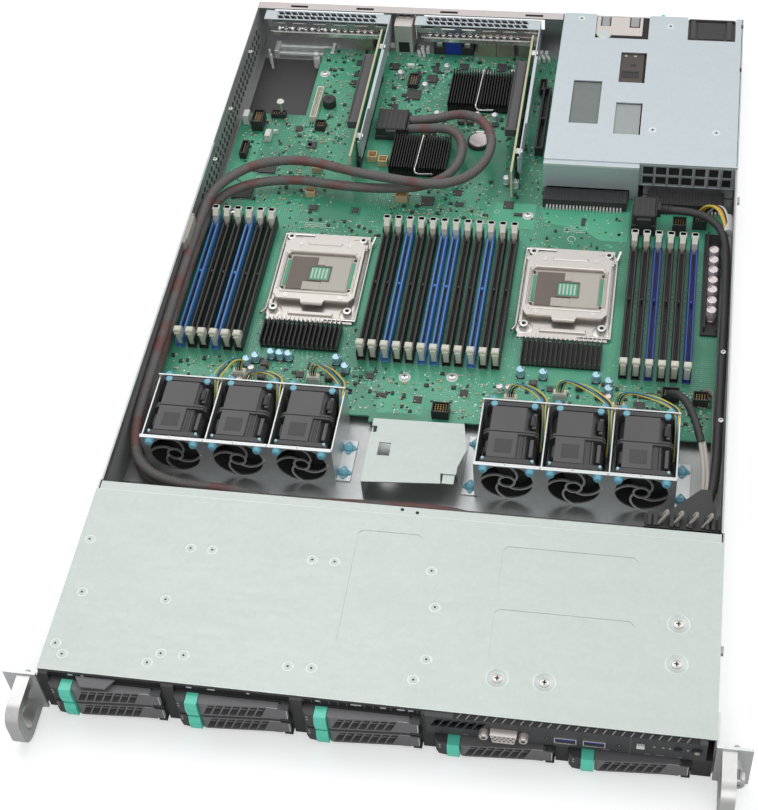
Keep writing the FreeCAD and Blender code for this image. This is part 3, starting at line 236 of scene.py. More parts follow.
# Solder mask: darker and paler fields, fine copper tracks that show through it, and a glossy skin.
def boardFinish(name, deep, bright, track):
    material, tree, shader, place = startFinish(name, 0.34, 0, 0.25)
    base = mixColour(tree, ramp(tree, noise(tree, place, 11, 1), 0.42, 0.6), deep, bright)
    rows = tracks(tree, place, 0.021, 0.0021, 0.00032)
    quarter = addNode(tree, "Mapping", {0: place, "Rotation": (0, 0, math.pi / 2)}).outputs[0]
    columns = tracks(tree, quarter, 0.017, 0.0019, 0.00028)
    across = ramp(tree, noise(tree, place, 26, 0), 0.5, 0.54)
    there = ramp(tree, noise(tree, place, 17, 1), 0.47, 0.56)
    amount = shaderMath(tree, "MULTIPLY", mixColour(tree, across, rows, columns), there)
    tracked = mixColour(tree, shaderMath(tree, "MULTIPLY", amount, 0.4), base, track)
    dots = addNode(tree, "TexVoronoi", {"Vector": place, "Scale": 260})
    via = shaderMath(tree, "LESS_THAN", dots.outputs["Distance"], 0.16)
    some = ramp(tree, noise(tree, place, 21, 1), 0.5, 0.6)
    marks = shaderMath(tree, "MULTIPLY", shaderMath(tree, "MULTIPLY", via, some), 0.55)
    colour = mixColour(tree, marks, tracked, (0.62, 0.72, 0.55))
    return endFinish(material, tree, shader, colour, amount, 0.1, 0.0001)


# Where a point lies on a tube: how far round it, and how many millimetres along it.
def placeOnTube(tree):
    return addNode(tree, "SeparateXYZ", {0: addNode(tree, "UVMap", uv_map="length").outputs[0]}).outputs


# A braided sleeve: two sets of slanted threads over each other, along the piece's own length.
def sleeveFinish(name, thread, gap, tint):
    material, tree, shader, place = startFinish(name, 0.45)
    tubePlace = placeOnTube(tree)
    turns = shaderMath(tree, "MULTIPLY", tubePlace[0], 12)
    rings = shaderMath(tree, "MULTIPLY", tubePlace[1], 0.45)
    crossings = []
    for sign in (1, -1):
        slant = shaderMath(tree, "ADD", rings, shaderMath(tree, "MULTIPLY", turns, sign * 0.5))
        wave = shaderMath(tree, "SINE", shaderMath(tree, "MULTIPLY", slant, 2 * math.pi))
        crossings.append(shaderMath(tree, "ABSOLUTE", wave))
    weave = shaderMath(tree, "MULTIPLY", *crossings)
    plain = mixColour(tree, ramp(tree, weave, 0.25, 0.6), gap, thread)
    red = mixColour(tree, ramp(tree, noise(tree, place, 40, 1), 0.5, 0.62), thread, tint)
    colour = mixColour(tree, ramp(tree, weave, 0.35, 0.85), plain, red)
    return endFinish(material, tree, shader, colour, weave, 0.5, 0.0006)


# A flat ribbon: parallel wires side by side with painted shade in the grooves between them, one of them
# marked.
def ribbonFinish(name, colour, marked):
    material, tree, shader, _ = startFinish(name, 0.45)
    across = placeOnTube(tree)[0]
    wave = shaderMath(tree, "ABSOLUTE", shaderMath(tree, "SINE", shaderMath(tree, "MULTIPLY", across, 38)))
    # The grooves between the wires are painted darker: painted shade where the round wires meet.
    wires = mixColour(tree, ramp(tree, wave, 0.05, 0.5), shades(colour, 0.45)[0], colour)
    colour = mixColour(tree, ramp(tree, across, 0.86, 0.88), wires, marked)
    return endFinish(material, tree, shader, colour, wave, 0.4, 0.0004)


# Metal sheets: colour, roughness, how metallic, the strength of the spangle, and the streaks' stretch.
sheets = {
    "cover": ((0.50, 0.545, 0.52), 0.46, 0.55, 0.05),
    "cage": ((0.58, 0.64, 0.67), 0.46, 0.5, 0.04),
    "chassis": ((0.40, 0.41, 0.41), 0.36, 0.8, 0.08),
    "plate": ((0.58, 0.60, 0.60), 0.36, 0.7, 0.05),
    "bright": ((0.66, 0.65, 0.63), 0.25, 0.9, 0.04),
    "nickel": ((0.58, 0.55, 0.52), 0.3, 0.85, 0.05),
    "brushed": ((0.52, 0.52, 0.51), 0.34, 0.85, 0.07, (1, 1, 14)),
    "battery": ((0.78, 0.70, 0.70), 0.3, 0.5, 0.03),
    "canTop": ((0.74, 0.74, 0.78), 0.3, 0.6, 0.04),
    "canPink": ((0.78, 0.68, 0.70), 0.35, 0.5, 0.04),
    "sinkBlack": ((0.020, 0.019, 0.019), 0.42, 0.4, 0.2),
    "sinkEdge": ((0.17, 0.165, 0.15), 0.4, 0.5, 0.2),
    "canBlue": ((0.42, 0.66, 0.78), 0.32, 0.5, 0.05),
    "guard": ((0.62, 0.61, 0.60), 0.3, 0.8, 0.04),
    "coverBright": ((0.64, 0.69, 0.67), 0.34, 0.4, 0.03),
    "edgeBright": ((0.80, 0.83, 0.82), 0.32, 0.4, 0.03),
    "flange": ((0.66, 0.60, 0.585), 0.42, 0.45, 0.04),
    "jackShell": ((0.44, 0.37, 0.31), 0.34, 0.7, 0.15),
    "portBeige": ((0.70, 0.64, 0.60), 0.36, 0.5, 0.05),
    "grille": ((0.20, 0.225, 0.215), 0.5, 0.4, 0.1),
    "bayGrey": ((0.36, 0.39, 0.385), 0.45, 0.5, 0.06),
}
# Plastics, print and paint: colour, roughness, drift of the colour, grain, coat and how metallic.
plains = {
    "boardEdge": ((0.66, 0.62, 0.40), 0.5),
    "silk": ((0.62, 0.72, 0.64), 0.6, 0.08),
    "padGold": ((0.55, 0.42, 0.18), 0.35, 0.1, 900, 0, 0.6),
    "black": ((0.016, 0.016, 0.017), 0.45, 0.3),
    "softBlack": ((0.03, 0.029, 0.03), 0.55, 0.25),
    "fanBlack": ((0.045, 0.044, 0.045), 0.42, 0.25),
    "deepBlack": ((0.004, 0.004, 0.004), 0.7, 0.2),
    "chip": ((0.045, 0.045, 0.047), 0.5, 0.2),
    "slotGrey": ((0.10, 0.095, 0.10), 0.55, 0.15),
    "carrier": ((0.045, 0.046, 0.048), 0.48, 0.15),
    "lever": ((0.17, 0.165, 0.17), 0.5, 0.12),
    "blue": ((0.085, 0.25, 0.62), 0.42, 0.1),
    "darkBlue": ((0.025, 0.06, 0.30), 0.45, 0.1),
    "videoBlue": ((0.01, 0.04, 0.36), 0.4, 0.1),
    "ivory": ((0.80, 0.78, 0.66), 0.45, 0.06),
    "white": ((0.82, 0.82, 0.80), 0.45, 0.05),
    "mint": ((0.13, 0.78, 0.58), 0.35, 0.1, 600, 0.2),
    "rubberBlue": ((0.22, 0.56, 0.70), 0.5, 0.12),
    "inductor": ((0.09, 0.085, 0.08), 0.5, 0.2),
    "tan": ((0.62, 0.46, 0.28), 0.5, 0.15),
    "header": ((0.76, 0.56, 0.33), 0.45, 0.08),
    "copper": ((0.55, 0.24, 0.09), 0.35, 0.2, 900, 0, 0.5),
    "wireYellow": ((0.78, 0.62, 0.10), 0.4, 0.08),
    "wireBlue": ((0.05, 0.26, 0.45), 0.4, 0.1),
    "wireBlack": ((0.02, 0.02, 0.02), 0.4, 0.2),
    "wireOrange": ((0.80, 0.36, 0.03), 0.4, 0.08),
    "flexGrey": ((0.45, 0.42, 0.38), 0.5, 0.1),
    "film": ((0.045, 0.043, 0.045), 0.38, 0.15),
    "socketDark": ((0.17, 0.135, 0.115), 0.5, 0.15),
    "socketPale": ((0.56, 0.52, 0.46), 0.5, 0.06),
    "contact": ((0.05, 0.045, 0.04), 0.45, 0.2),
    "canMark": ((0.42, 0.34, 0.40), 0.5, 0.1),
    "fanTop": ((0.085, 0.083, 0.085), 0.4, 0.2),
    "rubberPale": ((0.45, 0.76, 0.84), 0.45, 0.1),
    "slash": ((0.30, 0.30, 0.30), 0.45, 0.1),
    "brownDark": ((0.075, 0.058, 0.05), 0.5, 0.2),
    "boardPale": ((0.085, 0.44, 0.26), 0.42, 0.12, 500, 0.3),
    "wallGrey": ((0.33, 0.35, 0.34), 0.4, 0.1),
}
finish = {name: sheetFinish(name, *values) for name, values in sheets.items()}
finish.update({name: plainFinish(name, *values) for name, values in plains.items()})
finish["board"] = boardFinish("board", (0.035, 0.25, 0.145), (0.075, 0.40, 0.24), (0.20, 0.55, 0.38))
finish["sleeve"] = sleeveFinish("sleeve", (0.31, 0.29, 0.275), (0.010, 0.009, 0.010), (0.42, 0.10, 0.08))
finish["ribbon"] = ribbonFinish("ribbon", (0.62, 0.57, 0.52), (0.62, 0.10, 0.16))
print("finishes made")


# A shape moved by a step, with the same faces.
def moved(shape, step):
    return shape[0] + np.array(step, dtype=float), shape[1]


# Several shapes as one, each one's faces counted on past the points before it.
def together(shapes):
    counts = np.cumsum([0] + [len(points) for points, _ in shapes])
    points = np.concatenate([points for points, _ in shapes])
    faces = []
    for start, (_, own) in zip(counts, shapes):
        faces += [[int(start) + corner for corner in face] for face in own]
    return points, faces


# Blocks from rows of (left, right, front, rear, bottom, top), their upper edges cut back by a slope.
def blocks(rows, slope=0):
    rows = np.atleast_2d(np.array(rows, dtype=float))
    left, right, front, rear, bottom, top = rows.T
    if slope <= 0:
        rings = [(0, bottom), (0, top)]
    else:
        rings = [(0, bottom), (0, top - slope), (slope, top)]
    layers = []
    for inset, height in rings:
        xs = np.stack([left + inset, right - inset, right - inset, left + inset], 1)
        ys = np.stack([front + inset, front + inset, rear - inset, rear - inset], 1)
        layers.append(np.stack([xs, ys, np.repeat(height[:, None], 4, 1)], 2))
    points = np.stack(layers, 1).reshape(-1, 3)
    pattern = [[3, 2, 1, 0]]
    for k in range(len(rings) - 1):
        pattern += [[4 * k + i, 4 * k + (i + 1) % 4, 4 * k + 4 + (i + 1) % 4, 4 * k + 4 + i] for i in range(4)]
    last = 4 * (len(rings) - 1)
    pattern.append([last, last + 1, last + 2, last + 3])
    starts = np.arange(len(rows))[:, None, None] * 4 * len(rings)
    faces = (np.array(pattern)[None] + starts).reshape(-1, 4)
    return points, faces.tolist()


# A block about a middle: half its width, half its depth, its bottom and its top.
def about(x, y, wide, deep, low, top):
    return x - wide, x + wide, y - deep, y + deep, low, top


# Round pieces: a profile of (radius, height) turned about a line at each place.
# The line is upright unless another aim is given.
def turned(places, profile, sides=14, lean=0, aim="up"):
    places = np.atleast_2d(np.array(places, dtype=float))
    places = np.pad(places, ((0, 0), (0, 3 - places.shape[1])))
    angle = 2 * math.pi * np.arange(sides) / sides + lean
    radius, height = np.array(profile, dtype=float).T
    ring = np.stack([
        radius[:, None] * np.cos(angle), radius[:, None] * np.sin(angle), np.repeat(height[:, None], sides, 1),
    ], 2)
    if aim == "forward":
        ring = np.stack([ring[..., 0], -ring[..., 2], ring[..., 1]], 2)
    if aim == "right":
        ring = np.stack([ring[..., 2], ring[..., 0], ring[..., 1]], 2)
    points = (ring[None] + places[:, None, None, :]).reshape(-1, 3)
    count = len(profile)
    pattern = []
    for k in range(count - 1):
        for i in range(sides):
            j = (i + 1) % sides
            pattern.append([k * sides + i, k * sides + j, (k + 1) * sides + j, (k + 1) * sides + i])
    pattern.append(list(range(sides))[::-1])
    pattern.append(list(range((count - 1) * sides, count * sides)))
    faces = []
    for n in range(len(places)):
        start = n * count * sides
        faces += [[start + corner for corner in face] for face in pattern]
    return points, faces


# A tube along a path: a ring of points carried along it, square to it, with closed ends.
def tube(path, radius, sides=8, flat=1):
    path = np.array(path, dtype=float)
    along = np.gradient(path, axis=0)
    along /= np.linalg.norm(along, axis=1)[:, None]
    side = np.cross(along, (0, 0, 1))
    side /= np.maximum(np.linalg.norm(side, axis=1), 1e-6)[:, None]
    rise = np.cross(side, along)
    angle = 2 * math.pi * np.arange(sides) / sides
    radius = np.broadcast_to(radius, len(path))[:, None, None]
    ring = side[:, None] * np.cos(angle)[None, :, None] * flat + rise[:, None] * np.sin(angle)[None, :, None]
    points = (path[:, None] + ring * radius).reshape(-1, 3)
    k = np.arange(len(path) - 1)[:, None] * sides
    i = np.arange(sides)[None]
    j = (i + 1) % sides
    faces = np.stack([k + i, k + sides + i, k + sides + j, k + j], 2).reshape(-1, 4).tolist()
    last = (len(path) - 1) * sides
    faces.append(list(range(sides)))
    faces.append([last + n for n in range(sides)][::-1])
    return points, faces


# A smooth path through a few points: a Catmull-Rom curve, sampled evenly between each two.
def smoothPath(corners, steps=6):
    corners = np.array(corners, dtype=float)
    padded = np.concatenate([2 * corners[:1] - corners[1:2], corners, 2 * corners[-1:] - corners[-2:-1]])
    t = (np.arange(steps) / steps)[None, :, None]
    a, b, c, d = (padded[n:len(padded) - 3 + n][:, None] for n in range(4))
    curve = 0.5 * (
        2 * b + (c - a) * t + (2 * a - 5 * b + 4 * c - d) * t ** 2 + (3 * b - a - 3 * c + d) * t ** 3
    )
    return np.concatenate([curve.reshape(-1, 3), corners[-1:]])


# A flat outline given thickness from bottom to top.
def slab(outline, bottom, top):
    outline = np.array(outline, dtype=float)
    count = len(outline)
    area = np.sum(outline[:, 0] * np.roll(outline[:, 1], -1) - np.roll(outline[:, 0], -1) * outline[:, 1])
    if area < 0:
        outline = outline[::-1]
    low = np.column_stack([outline, np.full(count, bottom)])
    high = np.column_stack([outline, np.full(count, top)])
    faces = [[i, (i + 1) % count, count + (i + 1) % count, count + i] for i in range(count)]
    faces.append(list(range(count))[::-1])
    faces.append(list(range(count, 2 * count)))
    return np.concatenate([low, high]), faces


# A grid of a surface: points as rows and columns, one face to each cell.
def gridFaces(rows, columns, closed=False):
    k = np.arange(rows - 1)[:, None] * columns
    i = np.arange(columns if closed else columns - 1)[None]
    j = (i + 1) % columns
    return np.stack([k + i, k + j, k + columns + j, k + columns + i], 2).reshape(-1, 4).tolist()


# The same shape stood up: what was depth becomes height, and what was height becomes depth, front to back.
def stood(shape):
    points, faces = shape
    return np.stack([points[:, 0], points[:, 2], points[:, 1]], 1), [face[::-1] for face in faces]


# A plate with square holes in rows: each cell is an outer square, an inner one and the walls of its hole.
def pierced(corner, across, up, through, counts, cell, hole, slant=0):
    corner, across, up, through = (np.array(v, dtype=float) for v in (corner, across, up, through))
    c, r = np.meshgrid(np.arange(counts[0]), np.arange(counts[1]))
    middle = np.stack([(c.ravel() + 0.5) * cell[0], (r.ravel() + 0.5) * cell[1]], 1)
    signs = np.array([(-1, -1), (1, -1), (1, 1), (-1, 1)]) * 0.5
    outer = middle[:, None] + signs * np.array(cell)
    inner = middle[:, None] + signs * np.array(hole)
    inner[..., 0] += slant * (inner[..., 1] - middle[:, None, 1])
    flat = np.concatenate([outer, inner], 1)
    front = corner + flat[..., :1] * across + flat[..., 1:] * up
    points = np.concatenate([front, front + through], 1).reshape(-1, 3)
    pattern = []
    for i in range(4):
        j = (i + 1) % 4
        pattern += [
            [i, j, 4 + j, 4 + i], [8 + i, 12 + i, 12 + j, 8 + j], [4 + i, 4 + j, 12 + j, 12 + i],
            [i, 8 + i, 8 + j, j]
        ]
    starts = np.arange(len(middle))[:, None, None] * 16
    return points, (np.array(pattern)[None] + starts).reshape(-1, 4).tolist()


# Puts parts into one piece that rides on a body.
# Each part is a shape or rows of blocks, a finish name and, for blocks, their slope.
def addPiece(name, parts, body="chassis", replaces=(), smooth=False):
    shapes = [blocks(part[0], *part[2:]) if isinstance(part[0], list) else part[0] for part in parts]
    points, faces = together(shapes)
    mesh = bpy.data.meshes.new(name)
    mesh.from_pydata(toFrame(points).tolist(), [], faces)
    names = list(dict.fromkeys(part[1] for part in parts))
    for finishName in names:
        mesh.materials.append(finish[finishName])
    index = np.concatenate(
        [np.full(len(shape[1]), names.index(part[1])) for shape, part in zip(shapes, parts)]
    )
    mesh.polygons.foreach_set("material_index", index.astype(np.int32))
    mesh.polygons.foreach_set("use_smooth", np.full(len(faces), smooth))
    mesh.update()
    if smooth:
        mesh.set_sharp_from_angle(angle=math.radians(35))
    piece = bpy.data.objects.new(name, mesh)
    bpy.context.collection.objects.link(piece)
    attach(piece, body)
    if replaces:
        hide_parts(*replaces)
    return piece


# Gives CAD nodes a finish.
def dress(finishName, *nodes):
    for node in nodes:
        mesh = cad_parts[node].data
        mesh.materials.clear()
        mesh.materials.append(finish[finishName])


makeCamera()
makeLight()
makeFloor()
print("camera, light and floor made")


cables = {
    "signalOne": [
        (-61.6, 588, 16), (-42, 589, 17), (-17, 592, 24), (6, 576, 31), (18, 544, 32), (8, 508, 32),
        (-20, 490, 32), (-58, 495, 32), (-98, 503, 31), (-140, 516, 30), (-178, 509, 30), (-199, 490, 30),
        (-210.5, 470, 30), (-213.3, 440, 30), (-213.4, 345, 30), (-212.9, 255, 28), (-212.3, 217, 26),
        (-203, 187, 24), (-176, 172, 23), (-130, 172, 22), (-106, 168, 22), (-94, 158, 21), (-92, 143, 21),
    ],
    "signalTwo": [
        (-61.6, 577, 16), (-43, 577, 18), (-21, 573, 22), (-8, 551, 23), (-13, 519, 21), (-36, 500, 21),
        (-66, 495, 21), (-104, 496, 20), (-145, 503, 19), (-180, 496, 19), (-202, 482, 19), (-211, 462, 19),
        (-213.4, 435, 19), (-213.3, 340, 19), (-212.9, 255, 17), (-212.3, 217, 15), (-203, 187, 13),
        (-176, 172, 12), (-120, 172, 11), (-50, 175, 12), (20, 176, 14), (50, 171, 14), (67.5, 161, 14),
        (70, 143.2, 14),
    ],
    "power": [
        (168.2, 485, 24.5), (182, 485, 24.5), (199, 479, 24.5), (211, 462, 24.5), (213.8, 430, 25),
        (213.6, 350, 25.5), (213, 265, 25), (212, 212, 24.5), (205, 179, 24), (191, 163, 23), (188, 142.8, 22),
    ], "signalRadius": 4, "powerRadius": 3.2, "resolution": 8,
}


# The points of a smooth curve: a NURBS spline of order 3 with the route as its control points.
def splinePath(route):
    line = bpy.data.curves.new("route", "CURVE")
    line.dimensions = "3D"
    line.resolution_u = cables["resolution"]
    spline = line.splines.new("NURBS")
    spline.points.add(len(route) - 1)
    corners = np.concatenate([np.array(route, dtype=float), np.ones((len(route), 1))], 1)
    spline.points.foreach_set("co", corners.ravel())
    spline.order_u = 3
    spline.use_endpoint_u = True
    holder = bpy.data.objects.new("route", line)
    mesh = bpy.data.meshes.new_from_object(holder)
    points = np.zeros(len(mesh.vertices) * 3)
    mesh.vertices.foreach_get("co", points)
    bpy.data.objects.remove(holder)
    bpy.data.curves.remove(line)
    bpy.data.meshes.remove(mesh)
    return points.reshape(-1, 3)


# Adds a UV map whose v counts millimetres along a tube and whose u goes once round it.
def mapLength(piece, path, sides):
    run = np.concatenate([[0], np.cumsum(np.linalg.norm(np.diff(path, axis=0), axis=1))])
    mesh = piece.data
    corners = np.zeros(len(mesh.loops), dtype=np.int32)
    mesh.loops.foreach_get("vertex_index", corners)
    starts = np.zeros(len(mesh.polygons), dtype=np.int32)
    mesh.polygons.foreach_get("loop_start", starts)
    counts = np.zeros(len(mesh.polygons), dtype=np.int32)
    mesh.polygons.foreach_get("loop_total", counts)
    ring = corners // sides
    turn = (corners % sides).astype(float)
    face = np.repeat(np.arange(len(starts)), counts)
    top = np.full(len(starts), -1.0)
    np.maximum.at(top, face, turn)
    low = np.full(len(starts), float(sides))
    np.minimum.at(low, face, turn)
    wraps = (top - low > sides / 2)[face] & (turn < sides / 2)
    turn[wraps] += sides
    layer = mesh.uv_layers.new(name="length")
    uv = np.stack([turn / sides, run[np.minimum(ring, len(run) - 1)]], 1)
    layer.data.foreach_set("uv", uv.ravel())


# A free wire: its round or flat section carried along a route, with its measured length mapped along it.
def lead(name, route, radius, look, sides=8, flat=1, replaces=()):
    path = splinePath(route)
    piece = addPiece(name, [(tube(path, radius, sides, flat), look)], "chassis", replaces, True)
    mapLength(piece, path, sides)
    placed = toFrame(path)


def makeCables():
    for name in ("signalOne", "signalTwo"):
        lead(
            name + "Cable", cables[name], cables["signalRadius"], "sleeve", 16, 1, ("signal_cables",)
        )
    lead("powerCable", cables["power"], cables["powerRadius"], "softBlack", 16, 1, ("power_cables",))


makeCables()
print("cables made")


# A bar of one cross-section: its outline in x and z, carried from front to rear.
def bar(outline, front, rear):
    return stood(slab(outline, front, rear))


memory = {
    "starts": ((-204, 6, (0, 3), "blue"), (-59.7, 12, (2, 5, 6, 9), "blue"), (141, 6, (2, 5), "darkBlue")),
    "pitch": 9.5, "front": 315.75, "rear": 457.75, "tower": 10.5, "low": 8, "top": 17.8,
    "key": 392, "ridge": ((3.2, 0), (3.2, 7.4), (2.7, 9.8), (1.5, 9.8), (1.05, 4.6)),
}


# Each slot is a bar with two ridges and a card groove, a key across it, gold contacts painted near black as
# shade in the groove, and two end towers.
def makeMemory():
    side = np.array(memory["ridge"])
    outline = np.concatenate([side, side[::-1] * (-1, 1)])
    front, rear, low, top = memory["front"], memory["rear"], memory["low"], memory["top"]
    inner = (front + memory["tower"], rear - memory["tower"])
    shapes = {"black": [], "blue": [], "darkBlue": []}
    contacts = []
    pads = {"front": [], "rear": []}
    for start, count, coloured, colour in memory["starts"]:
        for i in range(count):
            x = start + i * memory["pitch"]
            look = colour if i in coloured else "black"
            shapes[look].append(bar(outline + (x, low), inner[0], inner[1]))
            cheeks = []
            for near, far, rise in ((front, inner[0], 0), (inner[1], rear, 1.6)):
                for aside in (-3.2, 2.5):
                    cheeks.append((x + aside, x + aside + 0.7, near, far, low, top + rise))
                cheeks.append((x - 2.5, x + 2.5, near, far, low, low + 0.3))
            cheeks.append(about(x, memory["key"], 1.05, 1.2, top - 5.3, top - 0.8))
            shapes[look].append(blocks(cheeks, 0.3))
            # The gold contacts are painted near black: painted shade down in the narrow card groove.
            contacts.append((x - 0.95, x - 0.75, inner[0] + 3, inner[1] - 3, top - 5, top - 1.2))
            contacts.append((x + 0.75, x + 0.95, inner[0] + 3, inner[1] - 3, top - 5, top - 1.2))
            pads["front"].append((x - 2.9, x + 2.9, front - 0.4, front + 4.8, 25.6, 28.4))
            pads["front"].append((x - 2.2, x + 2.2, front - 1.4, front - 0.2, 24, 26))
            pads["rear"].append((x - 2.9, x + 2.9, rear - 4.8, rear - 0.2, 25.6, 28))
            pads["rear"].append((x - 2.2, x + 2.2, rear - 0.3, rear + 0.4, 24, 25.8))
    parts = [(shape, look) for look, found in shapes.items() for shape in found]
    addPiece("memorySlotBars", parts, replaces=("memory_slots",))
    addPiece("memoryContacts", [(contacts, "contact")])
    addPiece("frontLatchPads", [(blocks(pads["front"], 0.8), "ivory")], "front_latches")
    addPiece("rearLatchPads", [(blocks(pads["rear"], 0.8), "white")], "rear_latches")


makeMemory()
print("memory slots made")


socket = {
    "places": (-107.5, 92), "middle": 399, "frameWidth": 70, "frameLength": 98, "frameLow": 9.5,
    "plateTop": 15.6, "window": (29, 21.5),
}


# One processor socket in its load plate's window: carrier, two coloured halves, a dark well, a green floor.
def makeSocket(number, x):
    y = socket["middle"]
    inside = [
        ([about(x, y, 28.4, 21.2, 11, 13.2)], "socketPale", 0.4),
        ([(x - 24.6, x - 3, y - 18, y + 18.4, 13.2, 14)], "socketDark", 0.3),
        (
            [
                (x + 3, x + 24.6, y - 18, y + 18.4, 13.2, 14), (x - 12, x + 3, y - 18, y - 9, 13.2, 14.05),
                (x - 3, x + 3, y + 10, y + 18.4, 13.2, 14.05),
            ], "socketPale", 0.3
        ),
        (
            [(x - 28, x - 25.4, y - 14, y + 14, 13.2, 14.4), (x + 25.4, x + 28, y - 14, y + 14, 13.2, 14.4)],
            "board", 0.3
        ),
        (
            [
                (x - 7.4, x + 8.4, y - 8.4, y - 7.2, 13.6, 14.7),
                (x - 7.4, x + 8.4, y + 7.2, y + 8.4, 13.6, 14.7),
                (x - 8.6, x - 7.4, y - 8.4, y + 8.4, 13.6, 14.7),
                (x + 8.4, x + 9.6, y - 8.4, y + 8.4, 13.6, 14.7),
            ], "socketDark"
        ), ([(x - 7.4, x + 8.4, y - 7.2, y + 7.2, 13.9, 14.15)], "board"),
        (
            [(x - 6.4 + 2.9 * n, x - 4.9 + 2.9 * n, y - 5.6, y + 5.8, 14.15, 14.5) for n in range(5)], "silk",
            0.2
        ),
    ]
    notches = [about(x + sx * 27.2, y + sy * 17, 1, 1.2, 14, 14.6)
               for sx in (-1, 1) for sy in (-1, 1)]
    inside.append((notches, "black", 0.3))
    addPiece("socketInside%d" % number, inside)
    half, long = socket["frameWidth"] / 2, socket["frameLength"] / 2
    low = socket["frameLow"]
    corners = [(x + sx * (half - 5), y + sy * (long - 9.5)) for sx in (-1, 1) for sy in (-1, 1)]
    frameParts = [
        (turned(corners, [(7, low - 1.4), (7, low + 0.5), (6.4, low + 0.9), (4, low + 0.9)], 18), "nickel"),
        (turned(corners, [(3.9, low), (3.9, 14.4), (3.3, 15.3), (1.7, 15.4), (1.6, 14.4)], 18), "bright"),
        (turned(corners, [(1.55, 14), (1.55, 14.7)], 10), "deepBlack"),
        ([
            (x - half, x + half, y - long, y - long + 5.2, low - 1.2, low + 0.8),
            (x - half, x + half, y + long - 5.2, y + long, low - 1.2, low + 0.8),
            (x - half + 0.4, x - half + 3.2, y - long + 4, y + long - 4, low - 1.2, low + 1),
            (x + half - 3.2, x + half - 0.4, y - long + 4, y + long - 4, low - 1.2, low + 1),
            (x - 22, x + 22, y + long - 9.4, y + long - 6, low, low + 2.6),
            (x - 18, x + 18, y - long + 6.4, y - long + 9.4, low, low + 2.2),
        ], "nickel", 0.4),
    ]
    hooks = []
    for sx, sy in ((-1, 1), (1, -1)):
        hooks.append((x + sx * 33.2 - 1.6, x + sx * 33.2 + 1.6, y - sy * 36, y - sy * 30, low, low + 4.2))
    frameParts.append(([(a, b, min(c, d), max(c, d), e, f) for a, b, c, d, e, f in hooks], "nickel", 0.5))
    addPiece("socketFrameTrim%d" % number, frameParts, smooth=True)
    top = socket["plateTop"]
    wide, deep = socket["window"]
    rim = [(x - wide + 1, x + wide - 1, y - deep - 2, y - deep - 0.4, top - 0.3, top + 0.9)]
    rim += [(x - wide + 1, x + wide - 1, y + deep + 0.4, y + deep + 2, top - 0.3, top + 0.9)]
    rim += [(x - wide - 2, x - wide - 0.4, y - deep + 1, y + deep - 1, top - 0.3, top + 0.9)]
    rim += [(x + wide + 0.4, x + wide + 2, y - deep + 1, y + deep - 1, top - 0.3, top + 0.9)]
    rim += [
        (x - 9, x + 9, y - 34.4, y - 33, top - 0.2, top + 1),
        (x - 14, x + 14, y + 30.5, y + 33.5, top - 0.2, top + 0.8)
    ]
    plateParts = [(rim, "nickel", 0.5)]
    dimples = [(x + sx * 20, y + 31.5, 0) for sx in (-1, 1)] + [(x + sx * 22, y - 26.5, 0) for sx in (-1, 1)]
    plateParts.append(
        (
            turned(dimples, [(2.2, top - 0.1), (2.2, top + 0.35), (1.4, top + 0.35), (1.2, top + 0.05)], 14),
            "bright"
        )
    )
    addPiece("loadPlateTrim%d" % number, plateParts, "load_plate_%d" % number, smooth=True)


for number, x in enumerate(socket["places"], 1):
    makeSocket(number, x)
print("sockets made")


sinks = {
    "front": ((-141, -79, 322, 346, 16), (63, 124, 322, 346, 15)),
    "rear": ((-32, 21.5, 612, 660, 18), (-71, -22.5, 526, 568.5, 18)),
    "frontFins": 17, "rearFins": 22, "thick": 1, "base": 10.2,
}


# Finned blocks: the front pair has spaced fins with pale front edges, the rear pair fine fins in two halves.
def makeSinks():
    solid, edges, clips = [], [], []
    for left, right, front, rear, top in sinks["front"]:
        solid.append((left, right, front, rear, 8, sinks["base"]))
        for x in np.linspace(left, right - sinks["thick"], sinks["frontFins"]):
            solid.append((x, x + sinks["thick"], front, rear, sinks["base"] - 0.2, top))
            edges.append((x + 0.1, x + sinks["thick"] - 0.1, front - 0.05, front + 0.35, 9, top + 0.03))
    for left, right, front, rear, top in sinks["rear"]:
        solid.append((left, right, front, rear, 8, sinks["base"]))
        split, height = (left + right) / 2, top - 1.2
        half = (right - left) / 2 - 0.4
        for x in split + half * np.concatenate(
            [np.linspace(-1, -0.09, sinks["rearFins"] // 2), np.linspace(0.09, 1, sinks["rearFins"] // 2)]
        ):
            solid.append((x - 0.4, x + 0.4, front, rear, sinks["base"] - 0.2, top))
        ends = (
            (split + 1, rear + 5, 9.5), (split + 0.6, rear + 1, height), (split, rear - 6, height),
            (split - 1, front + 6, height), (split - 1.4, front - 1, height),
            (split + 1, front - 3, height - 3), (split + 14, front - 2.4, height - 3)
        )
        clips.append((tube(smoothPath(ends, 4), 0.75, 6), "bright"))
        clips.append(([(split - 1, split + 3, rear + 4, rear + 7, 8, 11)], "black", 0.4))
    addPiece("heatSinkFins", [(solid, "sinkBlack"), (edges, "sinkEdge")],
             replaces=("heat_sinks",))
    addPiece("heatSinkClips", clips, smooth=True)


makeSinks()
print("heat sinks made")


boardTop = 8


# A capacitor can: a beaded foot, a straight wall and a rounded rim.
def can(places, radius, low, top):
    profile = [
        (radius, low), (radius, low + 0.9), (radius - 0.35, low + 1.2), (radius, low + 1.6),
        (radius, top - 0.5), (radius - 0.2, top - 0.1), (radius - 0.6, top), (radius - 0.75, top - 0.12)
    ]
    return turned(places, profile, 16)


# Half of a can's top, printed dark, one flat half-disc at each place.
def canMark(places, radius, top, aim=0):
    shapes = []
    for x, y in places:
        angle = np.linspace(aim - 0.9, aim + 0.9, 8)
        outline = np.stack([x + radius * np.cos(angle), y + radius * np.sin(angle)], 1)
        shapes.append(slab(outline, top - 0.1, top + 0.03))
    return together(shapes)


